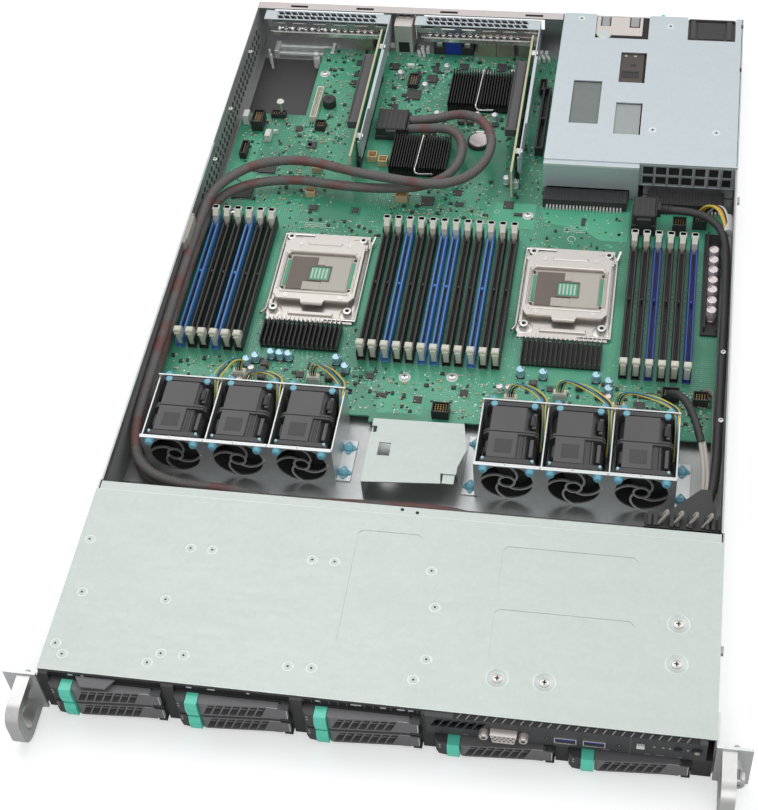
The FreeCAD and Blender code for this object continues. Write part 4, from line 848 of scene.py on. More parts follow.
# A shrouded header: four walls, a floor and rows of pins; pins and walls come back as two shapes.
def header(left, right, front, rear, low, top, wall=0.9, pitch=2.5, pin=0.32):
    walls = [
        (left, right, front, front + wall, low, top), (left, right, rear - wall, rear, low, top),
        (left, left + wall, front + wall, rear - wall, low, top),
        (right - wall, right, front + wall, rear - wall, low, top),
        (left + wall, right - wall, front + wall, rear - wall, low, low + 1.2),
    ]
    across = max(1, int((right - left - 2 * wall) / pitch))
    deep = max(1, int((rear - front - 2 * wall) / pitch))
    xs = (left + right) / 2 + (np.arange(across) - (across - 1) / 2) * pitch
    ys = (front + rear) / 2 + (np.arange(deep) - (deep - 1) / 2) * pitch
    pins = [about(x, y, pin, pin, low + 1.1, top - 1.4) for x in xs for y in ys]
    return blocks(walls, 0.15), blocks(pins)


board = {
    "fanHeaders": ((-150, 290), (-140, 276), (-92, 290), (60, 284), (96, 292), (140, 284)),
    "rowPlaces": (447, 436, 425, 414, 403.5, 392, 381.7), "rowX": 204,
    "blueCans": (
        (-129.6, 312), (-122.6, 311.5), (-115.6, 311.3), (-147.2, 303), (-141, 307), (-77.7, 311),
        (-69.5, 303), (64.4, 312), (81.7, 311.4), (121.7, 312), (131.4, 307.5), (131.6, 300)
    ),
    "pinkCans": (
        (-142, 295.5), (-148.7, 283), (-141.5, 285), (131.7, 293), (131.6, 275), (50.5, 295), (57.4, 295)
    ),
    "rearCans": (
        (-55.6, 640), (-39.6, 667), (-39.4, 602), (11, 603), (-4.4, 603), (-80, 655), (38, 520), (30, 524)
    ),
    "chokes": (
        (-133, 303), (-134, 296.5), (-133, 290), (-80, 301), (-80.6, 294), (75, 303), (110, 303), (125, 296),
        (-18, 597), (-10, 597)
    ),
    "chips": (
        (-39, -27, 490, 502, 1.4), (-72, -58, 624, 638, 1.6), (-57, -46, 648, 660, 1.6),
        (-93, -83, 664, 674, 1.6), (-83, -76, 608, 618, 1.3), (-48, -41, 577, 590, 1.2),
        (-149, -139, 553, 563, 1.2), (-30, -20, 668, 678, 1.2), (4, 14, 668, 680, 1.3),
        (-125, -117, 640, 648, 1.2), (-14, -5, 504, 512, 1.2), (30, 40, 492, 502, 1.3),
        (-190, -182, 520, 528, 1.2), (-14, -6, 276, 284, 1.2), (150, 160, 285, 295, 1.3),
        (-100, -90, 268, 276, 1.2)
    ),
}


# Shrouded headers with their pins, and the six headers of the fans with their plugs in.
def makeHeaders():
    black, blackPins, cream, creamPins = [], [], [], []
    for box in (
        (170, 181, 473, 483, 20), (186, 197, 481, 491, 18), (3, 16, 263, 273, 17), (171, 184, 296, 305, 16),
        (194, 205, 294, 303, 16), (-145, -136, 577, 586, 14)
    ):
        shell, pins = header(*box[:4], boardTop, box[4], pitch=2)
        black.append(shell)
        blackPins.append(pins)
    for box in ((-92, -84, 541, 549, 14), (-82, -74, 536, 544, 14)):
        shell, pins = header(*box[:4], boardTop, box[4], pitch=2.2)
        cream.append(shell)
        creamPins.append(pins)
    tan = []
    for box in ((-60, -50, 493, 503, 15), (-137, -129, 523, 531, 14), (-137, -129, 493, 500, 14)):
        shell, pins = header(*box[:4], boardTop, box[4], pitch=3.6)
        tan.append(shell)
        creamPins.append(pins)
    addPiece("blackHeaders", [(together(black), "softBlack"), (together(blackPins), "padGold")],
             replaces=("board_parts",))
    addPiece(
        "creamHeaders", [(together(cream), "header"), (together(tan), "tan"), (together(creamPins), "padGold")]
    )
    shells, pins = zip(
        *[header(x - 5, x + 5, y - 3, y + 3, boardTop, 14.5, 0.7) for x, y in board["fanHeaders"]]
    )
    plugs = [about(x, y, 4.6, 2.6, 12, 16) for x, y in board["fanHeaders"]]
    addPiece("fanHeaders", [(together(shells), "white"), (together(pins), "padGold"), (plugs, "ivory", 0.4)])


# The row of large capacitors on its black base, the small cans with their marks, and the chokes.
def makeCans():
    row = [(board["rowX"], y) for y in board["rowPlaces"]]
    parts = [
        ([(196.5, 209.5, 365, 475, 8, 10)], "softBlack", 0.3),
        ([(198.6, 199.8, 368, 472, 9.9, 15.5), (208.2, 209.4, 368, 472, 9.9, 13)], "softBlack", 0.2),
        (can(row, 3.9, 10, 21), "canPink"), (canMark(row, 3.1, 21, 2.4), "canMark"),
    ]
    addPiece("capacitorRow", parts, smooth=True)
    blue, pink, rear = board["blueCans"], board["pinkCans"], board["rearCans"]
    cans = [
        (can(blue, 3.1, boardTop, 15.8), "canBlue"), (canMark(blue, 2.5, 15.8, 0.6), "black"),
        (can(pink, 2.6, boardTop, 14.2), "canPink"), (canMark(pink, 2, 14.2, 2.2), "canMark"),
        (can(rear, 2.9, boardTop, 14.8), "canTop"), (canMark(rear, 2.3, 14.8, 0.2), "black"),
    ]
    addPiece("boardCans", cans, smooth=True)
    bases = [about(x, y, 3.3, 3.3, 8, 9) for x, y in blue]
    chokes = [about(x, y, 2.9, 2.7, 8, 12.2) for x, y in board["chokes"]]
    chokeEnds = [about(x, y, 3.1, 1.4, 8, 10.6) for x, y in board["chokes"]]
    addPiece("boardChokes", [(bases, "softBlack", 0.2), (chokes, "inductor", 0.7), (chokeEnds, "copper", 0.2)])


# Chips with a row of legs at the front and the rear, and a printed dot in one corner.
def makeChips():
    chips, legs = [], []
    for left, right, front, back, rise in board["chips"]:
        chips.append((left + 0.8, right - 0.8, front + 0.8, back - 0.8, 8, 8 + rise))
        count = int((right - left - 2) / 0.9)
        for n in range(count):
            x = left + 1.4 + n * 0.9
            legs.append((x, x + 0.45, front, back, 8, 8.35))
    dots = [(left + 2.2, front + 2.2, 0) for left, right, front, back, rise in board["chips"]]
    dotTops = together(
        [turned([place], [(0.5, 8), (0.5, 8.02 + c[4])], 8) for place, c in zip(dots, board["chips"])]
    )
    addPiece("boardChips", [(chips, "chip", 0.25), (legs, "bright"), (dotTops, "silk")])


# The battery, its holder and spring clip, and the buzzer.
def makeBattery():
    holder = turned([(1, 572)], [(10, 8), (10, 11.6), (9.2, 12.2), (8.9, 12.2), (8.9, 10.8)], 32)
    cell = turned(
        [(1, 572)], [(8.7, 10.6), (8.7, 12.2), (8.3, 12.6), (6.9, 12.6), (6.7, 12.75), (0.05, 12.8)], 32
    )
    clip = blocks([(-3, 5, 580.6, 582.6, 8.5, 13)], 0.15)
    sounder = turned([(-138, 612)], [(6, 8), (6, 15.4), (5.4, 16), (1.4, 16), (1.2, 15.4)], 24)
    addPiece(
        "batteryAndSounder",
        [(holder, "softBlack"), (cell, "battery"), (clip, "bright"), (sounder, "softBlack")], smooth=True
    )


# Card sockets, the two supply sockets with their pins, the one by the cage and the strip connector.
def makeCardSockets():
    uprights, fingers = [], []
    for x, front, back in ((-99.6, 530, 650), (36.5, 530, 650)):
        uprights += [(x - 3.6, x - 1.15, front, back, 8, 19), (x + 1.15, x + 3.6, front, back, 8, 19),
                     (x - 1.15, x + 1.15, front, back, 8, 11)]
        uprights += [
            (x - 4.2, x + 4.2, front + 26, front + 29, 8, 18.4),
            (x - 4.2, x + 4.2, back - 4, back + 1.5, 8, 19.4)
        ]
        fingers += [
            (x + s * 1.05 - 0.08, x + s * 1.05 + 0.08, y, y + 0.6, 12, 18.4) for s in (-1, 1)
            for y in np.arange(front + 3, back - 5, 1.6)
        ]
    for left, right, front, back in ((63, 132, 498, 512.5), (148, 210, 500, 516)):
        uprights += [(left, right, front, front + 6, 8, 17), (left, right, front + 6, back, 8, 11.3),
                     (left, right, front + 6, back, 13.7, 17), (left, left + 1.5, front + 6, back, 11.2, 13.8),
                     (right - 1.5, right, front + 6, back, 11.2, 13.8)]
        uprights += [
            (x, x + 0.9, front - 0.5, back - 1, 16.9, 17.5) for x in np.arange(left + 2, right - 2, 2.6)
        ]
        fingers += [(x, x + 0.8, front - 3, front + 0.4, 8, 9) for x in np.arange(left + 2.5, right - 2, 2.6)]
    uprights += [(50, 51.8, 560, 640, 8, 17), (55.2, 57, 560, 640, 8, 17), (51.8, 55.2, 560, 562, 8, 17),
                 (51.8, 55.2, 638, 640, 8, 17), (51.8, 55.2, 598, 600, 8, 17), (51.8, 55.2, 562, 638, 8, 10)]
    addPiece("cardSockets", [(uprights, "softBlack", 0.25), (fingers, "bright")])
    strip = [(-152, -151, 590, 632, 8, 13), (-147, -146, 590, 632, 8, 13), (-151, -147, 590, 591.4, 8, 13),
             (-151, -147, 630.6, 632, 8, 13), (-151, -147, 591, 631, 8, 9.6)]
    stripPins = [(x, x + 0.5, y, y + 0.5, 9.5, 12.4) for x in (-150.1, -148.4) for y in np.arange(593, 630, 2)]
    addPiece("stripConnector", [(strip, "ivory", 0.2), (stripPins, "bright")])


# The moulded plugs of the signal cables and of the power cable, with a ribbed strain relief.
def makePlugs():
    signal = [
        (-90, -62, 570, 598, 8, 12.5), (-89, -63, 571, 597, 12.4, 20.6),
        (-62.4, -60.6, 571.5, 582.5, 12, 20.2), (-62.4, -60.6, 583.5, 594.5, 12, 20.2)
    ]
    ribs = [(-87 + 4.2 * n, -85.2 + 4.2 * n, 571.4, 596.6, 20.4, 21) for n in range(6)]
    latch = [(-80, -71, 568.6, 573, 13, 19.6)]
    addPiece("signalPlug", [(signal, "softBlack", 0.7), (ribs, "fanBlack", 0.25), (latch, "fanBlack", 0.5)])
    power = [
        (137, 157, 471, 495, 8, 19), (138, 156, 472, 494, 18.9, 29.4), (141, 153, 469.6, 473, 16, 27),
        (156.5, 160, 480.6, 489.4, 20, 29.2)
    ]
    reliefPath = [(157.5 + 1.2 * n, 485, 24.5) for n in range(11)]
    reliefRadius = [4.4, 3.5, 4.3, 3.4, 4.2, 3.35, 4.1, 3.3, 4, 3.25, 3.6]
    seams = [(138.4 + 4.4 * n, 139.2 + 4.4 * n, 472.2, 493.8, 29.2, 29.9) for n in range(5)]
    addPiece(
        "powerPlug",
        [
            (power, "softBlack", 0.8), (seams, "fanBlack", 0.2),
            (tube(reliefPath, reliefRadius, 16), "softBlack")
        ], smooth=True
    )

# The cable guide beside the right fans, and the clear film on the floor by the left wall.
def makeGuideAndFilm():
    guide = [(165, 168.6, 162, 175, 1, 33), (165, 218, 162, 163.2, 31, 35), (165, 218, 162, 175, 31, 32.4)]
    guide += [(x, x + 3, 163, 175, 32.3, 36) for x in (167, 171, 182, 186, 194.6, 206, 210, 214.5)]
    addPiece("cableGuide", [(guide, "softBlack", 0.3)])
    film = [(-212, -158, 600, 682, 1, 1.4)]
    creases = [
        (-211.6, -158.4, 600.2, 601, 1.35, 1.7), (-211.6, -210.8, 601, 681, 1.35, 1.7),
        (-159.2, -158.4, 601, 681, 1.35, 1.7)
    ]
    addPiece("insulatingFilm", [(film, "film"), (creases, "film", 0.1)])


for make in (makeHeaders, makeCans, makeChips, makeBattery, makeCardSockets, makePlugs, makeGuideAndFilm):
    make()
print("board parts made")


fans = {
    "places": (-177.7, -130.2, -82.7, 66.7, 114.2, 161.7), "front": 202, "length": 56, "middle": 21.3,
    "duct": 19.2, "hub": 9.6, "blades": 7, "reach": 18.4, "pitch": 47.5, "frontPlate": 200, "rearPlate": 258.8,
    "plateThick": 1.2, "plateTop": 41, "opening": 18.6, "ring": 6.4, "wire": 1.6, "sweep": 1.35,
    "feet": ((-61, -49, 203, 241), (33, 45, 200, 254), (183, 196, 203, 244)),
}


# A square frame along y with cut corners and a round duct inside, from stations (y, half size, corner cut).
def ductBlock(x, stations, duct, sides=48):
    angle = 2 * math.pi * (np.arange(sides) + 0.5) / sides
    c, s = np.cos(angle), np.sin(angle)
    rows = [np.stack([x + duct * c, np.full(sides, stations[0][0]), fans["middle"] + duct * s], 1)]
    for y, half, cut in stations:
        reach = np.minimum(half / np.maximum(np.abs(c), np.abs(s)), (2 * half - cut) / (np.abs(c) + np.abs(s)))
        rows.append(np.stack([x + reach * c, np.full(sides, y), fans["middle"] + reach * s], 1))
    rows.append(np.stack([x + duct * c, np.full(sides, stations[-1][0]), fans["middle"] + duct * s], 1))
    rows.append(rows[0])
    faces = gridFaces(len(rows), sides, True)
    return np.concatenate(rows), [face[::-1] for face in faces]


# A plate with a round hole: the hole's ring and the plate's rectangle share their directions from the middle.
def holedPlate(x0, x1, z0, z1, centre, radius, front, rear):
    cx, cz = centre
    corners = np.array([(x0, z0), (x1, z0), (x1, z1), (x0, z1)], dtype=float) - centre
    angle = np.sort(np.concatenate(
        [2 * math.pi * np.arange(40) / 40 + 0.01, np.arctan2(corners[:, 1], corners[:, 0]) % (2 * math.pi)]
    ))
    c, s = np.cos(angle), np.sin(angle)
    toSide = np.where(c > 0, (x1 - cx) / np.maximum(c, 1e-9), (x0 - cx) / np.minimum(c, -1e-9))
    toEnd = np.where(s > 0, (z1 - cz) / np.maximum(s, 1e-9), (z0 - cz) / np.minimum(s, -1e-9))
    reach = np.minimum(toSide, toEnd)
    rows = []
    for r, y in ((radius, front), (reach, front), (reach, rear), (radius, rear), (radius, front)):
        rows.append(np.stack([cx + r * c, np.full(len(angle), y), cz + r * s], 1))
    return np.concatenate(rows), [face[::-1] for face in gridFaces(5, len(angle), True)]


# A finger guard: a ring held by four spiral spokes, each a thin strip whose angle grows with its distance.
def fingerGuard(x, front):
    shapes = []
    inner, outer, wide = fans["ring"] - fans["wire"], fans["ring"], fans["wire"]
    middle = fans["middle"]
    angle = 2 * math.pi * np.arange(32) / 32
    rows = [
        np.stack([x + r * np.cos(angle), np.full(32, y), middle + r * np.sin(angle)], 1) for r,
        y in ((inner, front), (outer, front), (outer, front + 1.2), (inner, front + 1.2), (inner, front))
    ]
    shapes.append((np.concatenate(rows), [face[::-1] for face in gridFaces(5, 32, True)]))
    t = np.linspace(0, 1, 12)
    reach = inner + 0.5 + (fans["opening"] + 0.8 - inner) * t
    for n in range(4):
        swing = n * math.pi / 2 + fans["sweep"] * t + 0.3
        line = np.stack([x + reach * np.cos(swing), np.zeros(12), middle + reach * np.sin(swing)], 1)
        way = np.gradient(line, axis=0)
        way /= np.linalg.norm(way, axis=1)[:, None]
        side = np.stack([-way[:, 2], np.zeros(12), way[:, 0]], 1) * wide / 2
        ring = [line + side, line - side, line - side, line + side]
        for row, y in zip(ring, (front - 0.3, front - 0.3, front + 1, front + 1)):
            row[:, 1] = y
        points = np.stack(ring, 1).reshape(-1, 3)
        faces = gridFaces(12, 4, True) + [[0, 1, 2, 3], [47, 46, 45, 44]]
        shapes.append((points, faces))
    return together(shapes)


# One impeller: a domed hub and pitched blades, each a thin curved sheet from the hub to its tip.
def impeller(x, y, hand):
    middle = fans["middle"]
    hub = turned(
        [(0, 0)], [(fans["hub"], 0), (fans["hub"], 10.5), (fans["hub"] - 1.2, 12.4), (3, 13), (0.4, 13)], 28
    )
    shapes = [(np.stack([hub[0][:, 0] + x, y + 7 - hub[0][:, 2], hub[0][:, 1] + middle], 1), hub[1])]
    r = np.linspace(fans["hub"] - 0.4, fans["reach"], 5)[:, None]
    u = np.linspace(-1, 1, 7)[None]
    for n in range(fans["blades"]):
        around = 2 * math.pi * n / fans["blades"] + hand * 0.62 * u * (fans["hub"] / r) ** 0.4 + 0.02 * r
        along = 5.6 * u - 1.6 * (1 - u ** 2)
        sheets = []
        for thick in (0.45, -0.45):
            sheets.append(
                np.stack([x + r * np.cos(around), y + along + thick + 0 * r, middle + r * np.sin(around)], 2)
            )
        front, back = sheets
        rim = [(0, k) for k in range(7)] + [(k, 6) for k in range(1, 5)] + [
            (4, k) for k in range(5, -1, -1)
        ] + [(k, 0) for k in range(3, 0, -1)]
        points = np.concatenate([front.reshape(-1, 3), back.reshape(-1, 3)])
        index = [a * 7 + b for a, b in rim]
        faces = gridFaces(5, 7) + [[a + 35 for a in face[::-1]] for face in gridFaces(5, 7)]
        faces += [
            [index[k], index[(k + 1) % len(index)], index[(k + 1) % len(index)] + 35, index[k] + 35]
            for k in range(len(index))
        ]
        shapes.append((points, faces))
    return together(shapes)


def makeFans():
    front, rear = fans["front"], fans["front"] + fans["length"]
    joint = (front + rear) / 2
    stations = [
        (front, 19.6, 3.4), (front + 0.5, 20, 3), (front + 4, 20, 3), (front + 4.4, 18.7, 8.5),
        (joint - 2.4, 18.7, 8.5), (joint - 2, 19.9, 3), (joint - 0.3, 19.9, 3), (joint - 0.2, 19.2, 3.4),
        (joint + 0.2, 19.2, 3.4), (joint + 0.3, 19.9, 3), (joint + 2, 19.9, 3), (joint + 2.4, 18.7, 8.5),
        (rear - 4.4, 18.7, 8.5), (rear - 4, 20, 3), (rear - 0.5, 20, 3), (rear, 19.6, 3.4),
    ]
    shells, tops, clips, tags, struts = [], [], [], [], []
    for x in fans["places"]:
        shells.append(ductBlock(x, stations, fans["duct"]))
        tops += [
            (x - 15.5, x + 5.4, front + 4.6, joint - 0.3, 39.8, 41.3),
            (x + 6.4, x + 7.6, front + 4.5, joint - 3, 39.8, 41),
            (x + 10.2, x + 11.4, front + 4.5, joint - 3, 39.8, 41),
            (x - 15.5, x + 9.6, joint + 0.3, rear - 4.6, 39.8, 41.3),
            (x + 14.2, x + 17, front + 8, joint - 4, 36, 39.4),
            (x + 14.2, x + 17, joint + 6, rear - 8, 36, 39.4)
        ]
        clips += [
            (x - 17.2, x - 12.6, front + 9, front + 19, 35.5, 40.8),
            (x + 12.8, x + 16.4, joint + 8, joint + 17, 35.5, 40.9)
        ]
        tags.append((x - 10.5, x + 2, front + 8.6, joint - 7, 41.25, 41.4))
        boss = (x - 9.8, x + 9.8, joint - 5, joint + 5)
        struts += [(x - 19.4, x + 19.4, boss[2] + 1, boss[3] - 1, fans["middle"] - 1, fans["middle"] + 1),
                   (x - 1, x + 1, boss[2] + 1, boss[3] - 1, fans["middle"] - 19.4, fans["middle"] + 19.4)]
    motor = turned(
        [(x, joint + 5, fans["middle"]) for x in fans["places"]], [(9.8, 0), (9.8, 10)], 24, aim="forward"
    )
    pegs = turned(
        [(x - 15, front + 14 + 5, 39) for x in fans["places"]], [(1.7, 0), (2, 0.6), (2, 10.4), (1.7, 11)], 12,
        aim="forward"
    )
    addPiece("fanHousings", [
        (together(shells), "fanBlack"), (tops, "fanTop", 0.35), (clips, "black", 0.7), (tags, "chip"),
        (struts, "black"), (motor, "black"), (pegs, "black"),
    ], replaces=("fan_housings",), smooth=True)
    for n, x in enumerate(fans["places"], 1):
        shaft = turned([(x, joint + 8, fans["middle"])], [(1.5, 0), (1.5, 16)], 12, aim="forward")
        addPiece(
            "fanImpellers%d" % n,
            [(impeller(x, joint - 13, 1), "black"), (impeller(x, joint + 13, -1), "black"), (shaft, "bright")],
            "fan_rotor_%d" % n, ("fan_rotor_%d" % n,), smooth=True
        )


makeFans()


# The sheet-metal baskets with their guards, the feet and the rubber mounts.
def makeBaskets():
    sheetParts, guards, rubber, studs = [], [], [], []
    half = fans["pitch"] / 2
    fy, ry, thick, top = fans["frontPlate"], fans["rearPlate"], fans["plateThick"], fans["plateTop"]
    for k, x in enumerate(fans["places"]):
        for y in (fy, ry):
            sheetParts.append(
                holedPlate(x - half, x + half, 1, top, (x, fans["middle"]), fans["opening"], y, y + thick)
            )
        guards.append(fingerGuard(x, fy))
        edges = [(x - half, x - half + 1.2, fy + thick, ry, 1, top - 3)]
        edges += [(x - half + 0.2, x + half - 0.2, fy - 1.6, fy, top - 1.2, top + 0.1)]
        if k in (2, 5):
            edges.append((x + half - 1.2, x + half, fy + thick, ry, 1, top - 3))
        sheetParts.append(blocks(edges, 0.15))
        for side in (-1, 1):
            rubber.append(
                turned(
                    [(x + side * 16.6, fy + 0.2, 37.2)],
                    [(2, 0), (3.5, 0.4), (3.7, 1.6), (2.8, 2.6), (3.1, 3.4), (2.2, 4.6), (0.6, 4.8)], 14,
                    aim="forward"
                )
            )
            rubber.append(
                turned(
                    [(x + side * 16.6, ry + 5.4, 37.2)],
                    [(0.6, 0), (2.4, 0.3), (3.4, 1.6), (2.9, 2.6), (3.6, 3.6), (3.3, 4.2), (2, 4.4)], 14,
                    aim="forward"
                )
            )
            rubber.append(
                turned(
                    [(x + side * 14.6, ry - 3.4, 0)],
                    [(2.3, 39.2), (2.7, 40.2), (2.4, 41.4), (1.2, 41.9), (0.3, 42)], 12
                )
            )
            studs.append(turned([(x + side * 17.6, fy + 4.6, 0)], [(1.1, 40), (1.1, 42), (0.7, 42.3)], 10))
    plates = [(a, b, c, d, 1, 2.2) for a, b, c, d in fans["feet"]]
    sheetParts.append(blocks(plates, 0.2))
    for left, right, front, rear in fans["feet"]:
        for y in (front + 7.5, rear - 7.5):
            x = (left + right) / 2
            angle = 2 * math.pi * np.arange(24) / 24
            reach = 4.6 + 1.2 * np.cos(4 * angle)
            rubber.append(slab(np.stack([x + reach * np.cos(angle), y + reach * np.sin(angle)], 1), 2.2, 3.2))
            rubber.append(turned([(x, y)], [(3.4, 3.1), (3.6, 4.2), (2.6, 5.4), (1.6, 5.6)], 14))
            studs.append(turned([(x, y)], [(1.2, 5.2), (1.2, 6.4), (0.7, 6.8)], 10))
    addPiece(
        "fanBaskets", [(together(sheetParts), "plate"), (together(guards), "guard")],
        replaces=("fan_brackets",)
    )
    addPiece(
        "rubberMounts", [(together(rubber), "rubberBlue"), (together(studs), "rubberPale")],
        smooth=True
    )


makeBaskets()
print("fans made")


# A ring of round wire lying flat at each place.
def hoop(places, radius, wire, sides=20, section=6, flat=1):
    places = np.atleast_2d(np.array(places, dtype=float))
    around = 2 * math.pi * np.arange(sides)[:, None] / sides
    own = 2 * math.pi * np.arange(section)[None] / section
    reach = radius + wire * np.cos(own)
    ring = np.stack(
        [reach * np.cos(around), reach * np.sin(around), flat * wire * np.sin(own) + 0 * around], 2
    )
    points = (ring.reshape(1, -1, 3) + places[:, None]).reshape(-1, 3)
    k, i = np.arange(sides)[:, None], np.arange(section)[None]
    after, beside = (k + 1) % sides, (i + 1) % section
    pattern = np.stack(
        [k * section + i, after * section + i, after * section + beside, k * section + beside], 2
    ).reshape(-1, 4)
    starts = np.arange(len(places))[:, None, None] * sides * section
    return points, (pattern[None] + starts).reshape(-1, 4).tolist()


# A bar of one cross-section: its outline in y and z, carried from left to right.
def crossBar(outline, left, right):
    points, faces = slab(outline, left, right)
    return np.stack([points[:, 2], points[:, 0], points[:, 1]], 1), faces


# An upright frame between two outlines in x and z with as many points each, with a front and a rear face.
def collar(outer, inner, front, rear):
    rows = []
    for outline, y in ((inner, front), (outer, front), (outer, rear), (inner, rear), (inner, front)):
        outline = np.array(outline, dtype=float)
        rows.append(np.stack([outline[:, 0], np.full(len(outline), y), outline[:, 1]], 1))
    return np.concatenate(rows), [face[::-1] for face in gridFaces(5, len(outline), True)]


# The head of a screw at each place, with a cross in it.
def screwHeads(places, radius, low, top):
    places = np.atleast_2d(np.array(places, dtype=float))
    heads = turned(places, [(radius, low), (radius, top - 0.35), (radius * 0.82, top)], 18)
    arm, half = radius * 0.52, radius * 0.14
    cross = [about(x, y, arm, half, top - 0.1, top + 0.02) for x, y in places]
    cross += [about(x, y, half, arm, top - 0.1, top + 0.02) for x, y in places]
    return heads, blocks(cross)


cover = {
    "top": 43.2,
    "rivets": (
        (-211.9, 104.3), (-205.3, 61.2), (-139.7, 104.4), (-124.4, 104.7), (-54.4, 104.2), (-39, 104.3),
        (-146.8, 61.6), (-212, 20), (-205.3, 12.3), (-139.9, 20.3), (-124.5, 20.6), (-147.2, 12.5),
        (-54.8, 20.5), (-39.3, 20.9), (27.3, 104.1), (33.5, 75.9), (33.5, 35.9), (27.4, 20.1),
    ), "dishes": ((191.8, 81), (191.9, 51), (80.2, 27.6), (110.2, 28)), "lipHoles": ((0, 153), (10.7, 151.4)),
    "lipTop": 42.2,
}


# Rivets, screws in their dishes, the two holes in the lip and the pale strips along the front and rear edges;
# the rivet rims, dish rims and edge strips are painted highlights.
def makeCoverDetails():
    top = cover["top"]
    rivets = cover["rivets"]
    # The raised rings round the rivets are real; their paler colour is a painted highlight on each pressed
    # ring.
    rims = hoop([(x, y, top) for x, y in cover["rivets"]], 3.3, 0.8, 22, 8, 0.2)
    middles = turned(rivets, [(2.4, top - 0.1), (2.2, top + 0.06), (1.2, top + 0.12)], 16)
    centres = turned(rivets, [(0.85, top), (0.8, top + 0.14)], 8)
    heads, crosses = screwHeads(cover["dishes"], 3.3, 42.5, 43.25)
    # The dish rims are painted paler: a painted highlight on each dish's edge.
    dishRims = hoop([(x, y, top) for x, y in cover["dishes"]], 7.1, 0.4, 36, 6, 0.25)
    floors = hoop([(x, y, 42.55) for x, y in cover["dishes"]], 4.3, 0.5, 28, 6, 0.3)
    low = cover["lipTop"]
    holes = turned(cover["lipHoles"], [(1.3, low - 0.1), (1.3, low + 0.03)], 14)
    # Pale strips on the front and rear edges: painted highlights along the bends.
    edge = blocks(
        [
            (-218.6, 218.6, -0.06, 0.3, top - 0.35, top + 0.02),
            (-218.6, 218.6, 147.7, 148.08, top - 0.5, top + 0.02)
        ]
    )
    addPiece(
        "coverRivets", [(rims, "coverBright"), (middles, "cover"), (centres, "deepBlack")],
        smooth=True
    )
    addPiece(
        "coverScrews",
        [(heads, "nickel"), (crosses, "deepBlack"), (dishRims, "coverBright"), (floors, "coverBright")],
        smooth=True
    )
    addPiece("coverEdges", [(edge, "coverBright"), (holes, "deepBlack")])


makeCoverDetails()
print("cover details made")


walls = {
    "inside": 217.8, "holeRows": (12, 20, 28), "holes": (466, 692, 8.4), "holeRadius": 3,
    "flange": (-217.5, 61, 703, 712), "flangeTop": 42.2,
    "flangeSlots": (-180, -119, -42, 35),
}


# The left wall's perforations, the bright cut edges of both walls, the pale rear flange with its slots and
# painted shade under them.
def makeWallDetails():
    inside = walls["inside"]
    places = []
    first, last, pitch = walls["holes"]
    for row, z in enumerate(walls["holeRows"]):
        for y in np.arange(first + (row % 2) * pitch / 2, last, pitch):
            places.append((-inside, y, z))
    dots = turned(places, [(walls["holeRadius"], -0.2), (walls["holeRadius"], 0.06)], 4, 0, "right")
    addPiece("leftWallHoles", [(dots, "deepBlack")])
    edges = []
    for side in (-1, 1):
        inner, outer = sorted((side * (inside + 0.25), side * (inside + 1.15)))
        edges.append((inner, outer, 156.5, 711.8 if side < 0 else 518, 42.1, 42.3))
    left, right, front, rear = walls["flange"]
    top = walls["flangeTop"]
    lip = blocks([(left, right, front, front + 0.5, top - 0.2, top + 0.12)])
    strips = []
    bounds = [left] + [x + s * 8 for x in walls["flangeSlots"] for s in (-1, 1)] + [right]
    for a, b in zip(bounds[::2], bounds[1::2]):
        strips.append((a, b, front, rear, top - 0.1, top + 0.08))
    for x in walls["flangeSlots"]:
        strips += [
            (x - 8, x + 8, front, front + 2.5, top - 0.1, top + 0.08),
            (x - 8, x + 8, front + 5.5, rear, top - 0.1, top + 0.08)
        ]
    # A deep-black sheet under the slotted flange: painted shade seen through the slots.
    under = blocks([(left + 2, right - 2, front + 1.5, rear - 1.2, top - 1.3, top - 1.1)])
    studs = screwHeads([(-212, 497), (-213, 562), (-212, 640), (213, 320), (213.2, 255)], 1.9, 41, 42.5)
    clip = blocks([(-217.9, -214.8, 398, 432, 30, 41.6), (-215.6, -213.6, 402, 428, 34, 42)], 0.6)
    addPiece(
        "wallEdges", [(edges, "edgeBright"), (lip, "edgeBright"), (strips, "flange"), (under, "deepBlack")],
    )
    addPiece("wallScrews", [(studs[0], "bright"), (studs[1], "deepBlack")], smooth=True)
    addPiece("wallClip", [(clip, "flexGrey")])


makeWallDetails()
print("wall details made")


risers = {
    "cards": ((-100.4, 512, 682, -210, "riser_left"), (35.7, 503, 682, -71, "riser_right")),
    "card": 1.6, "low": 12, "top": 40, "gap": 3.6, "armFront": 689, "armRear": 702,
    "slotFront": 563, "slotLength": 92, "slotReach": 11.2, "slotLow": 25.5, "slotHigh": 33,
    "holes": 15, "pitch": 6.1, "hole": (4.7, 4.7), "slant": -0.45,
}


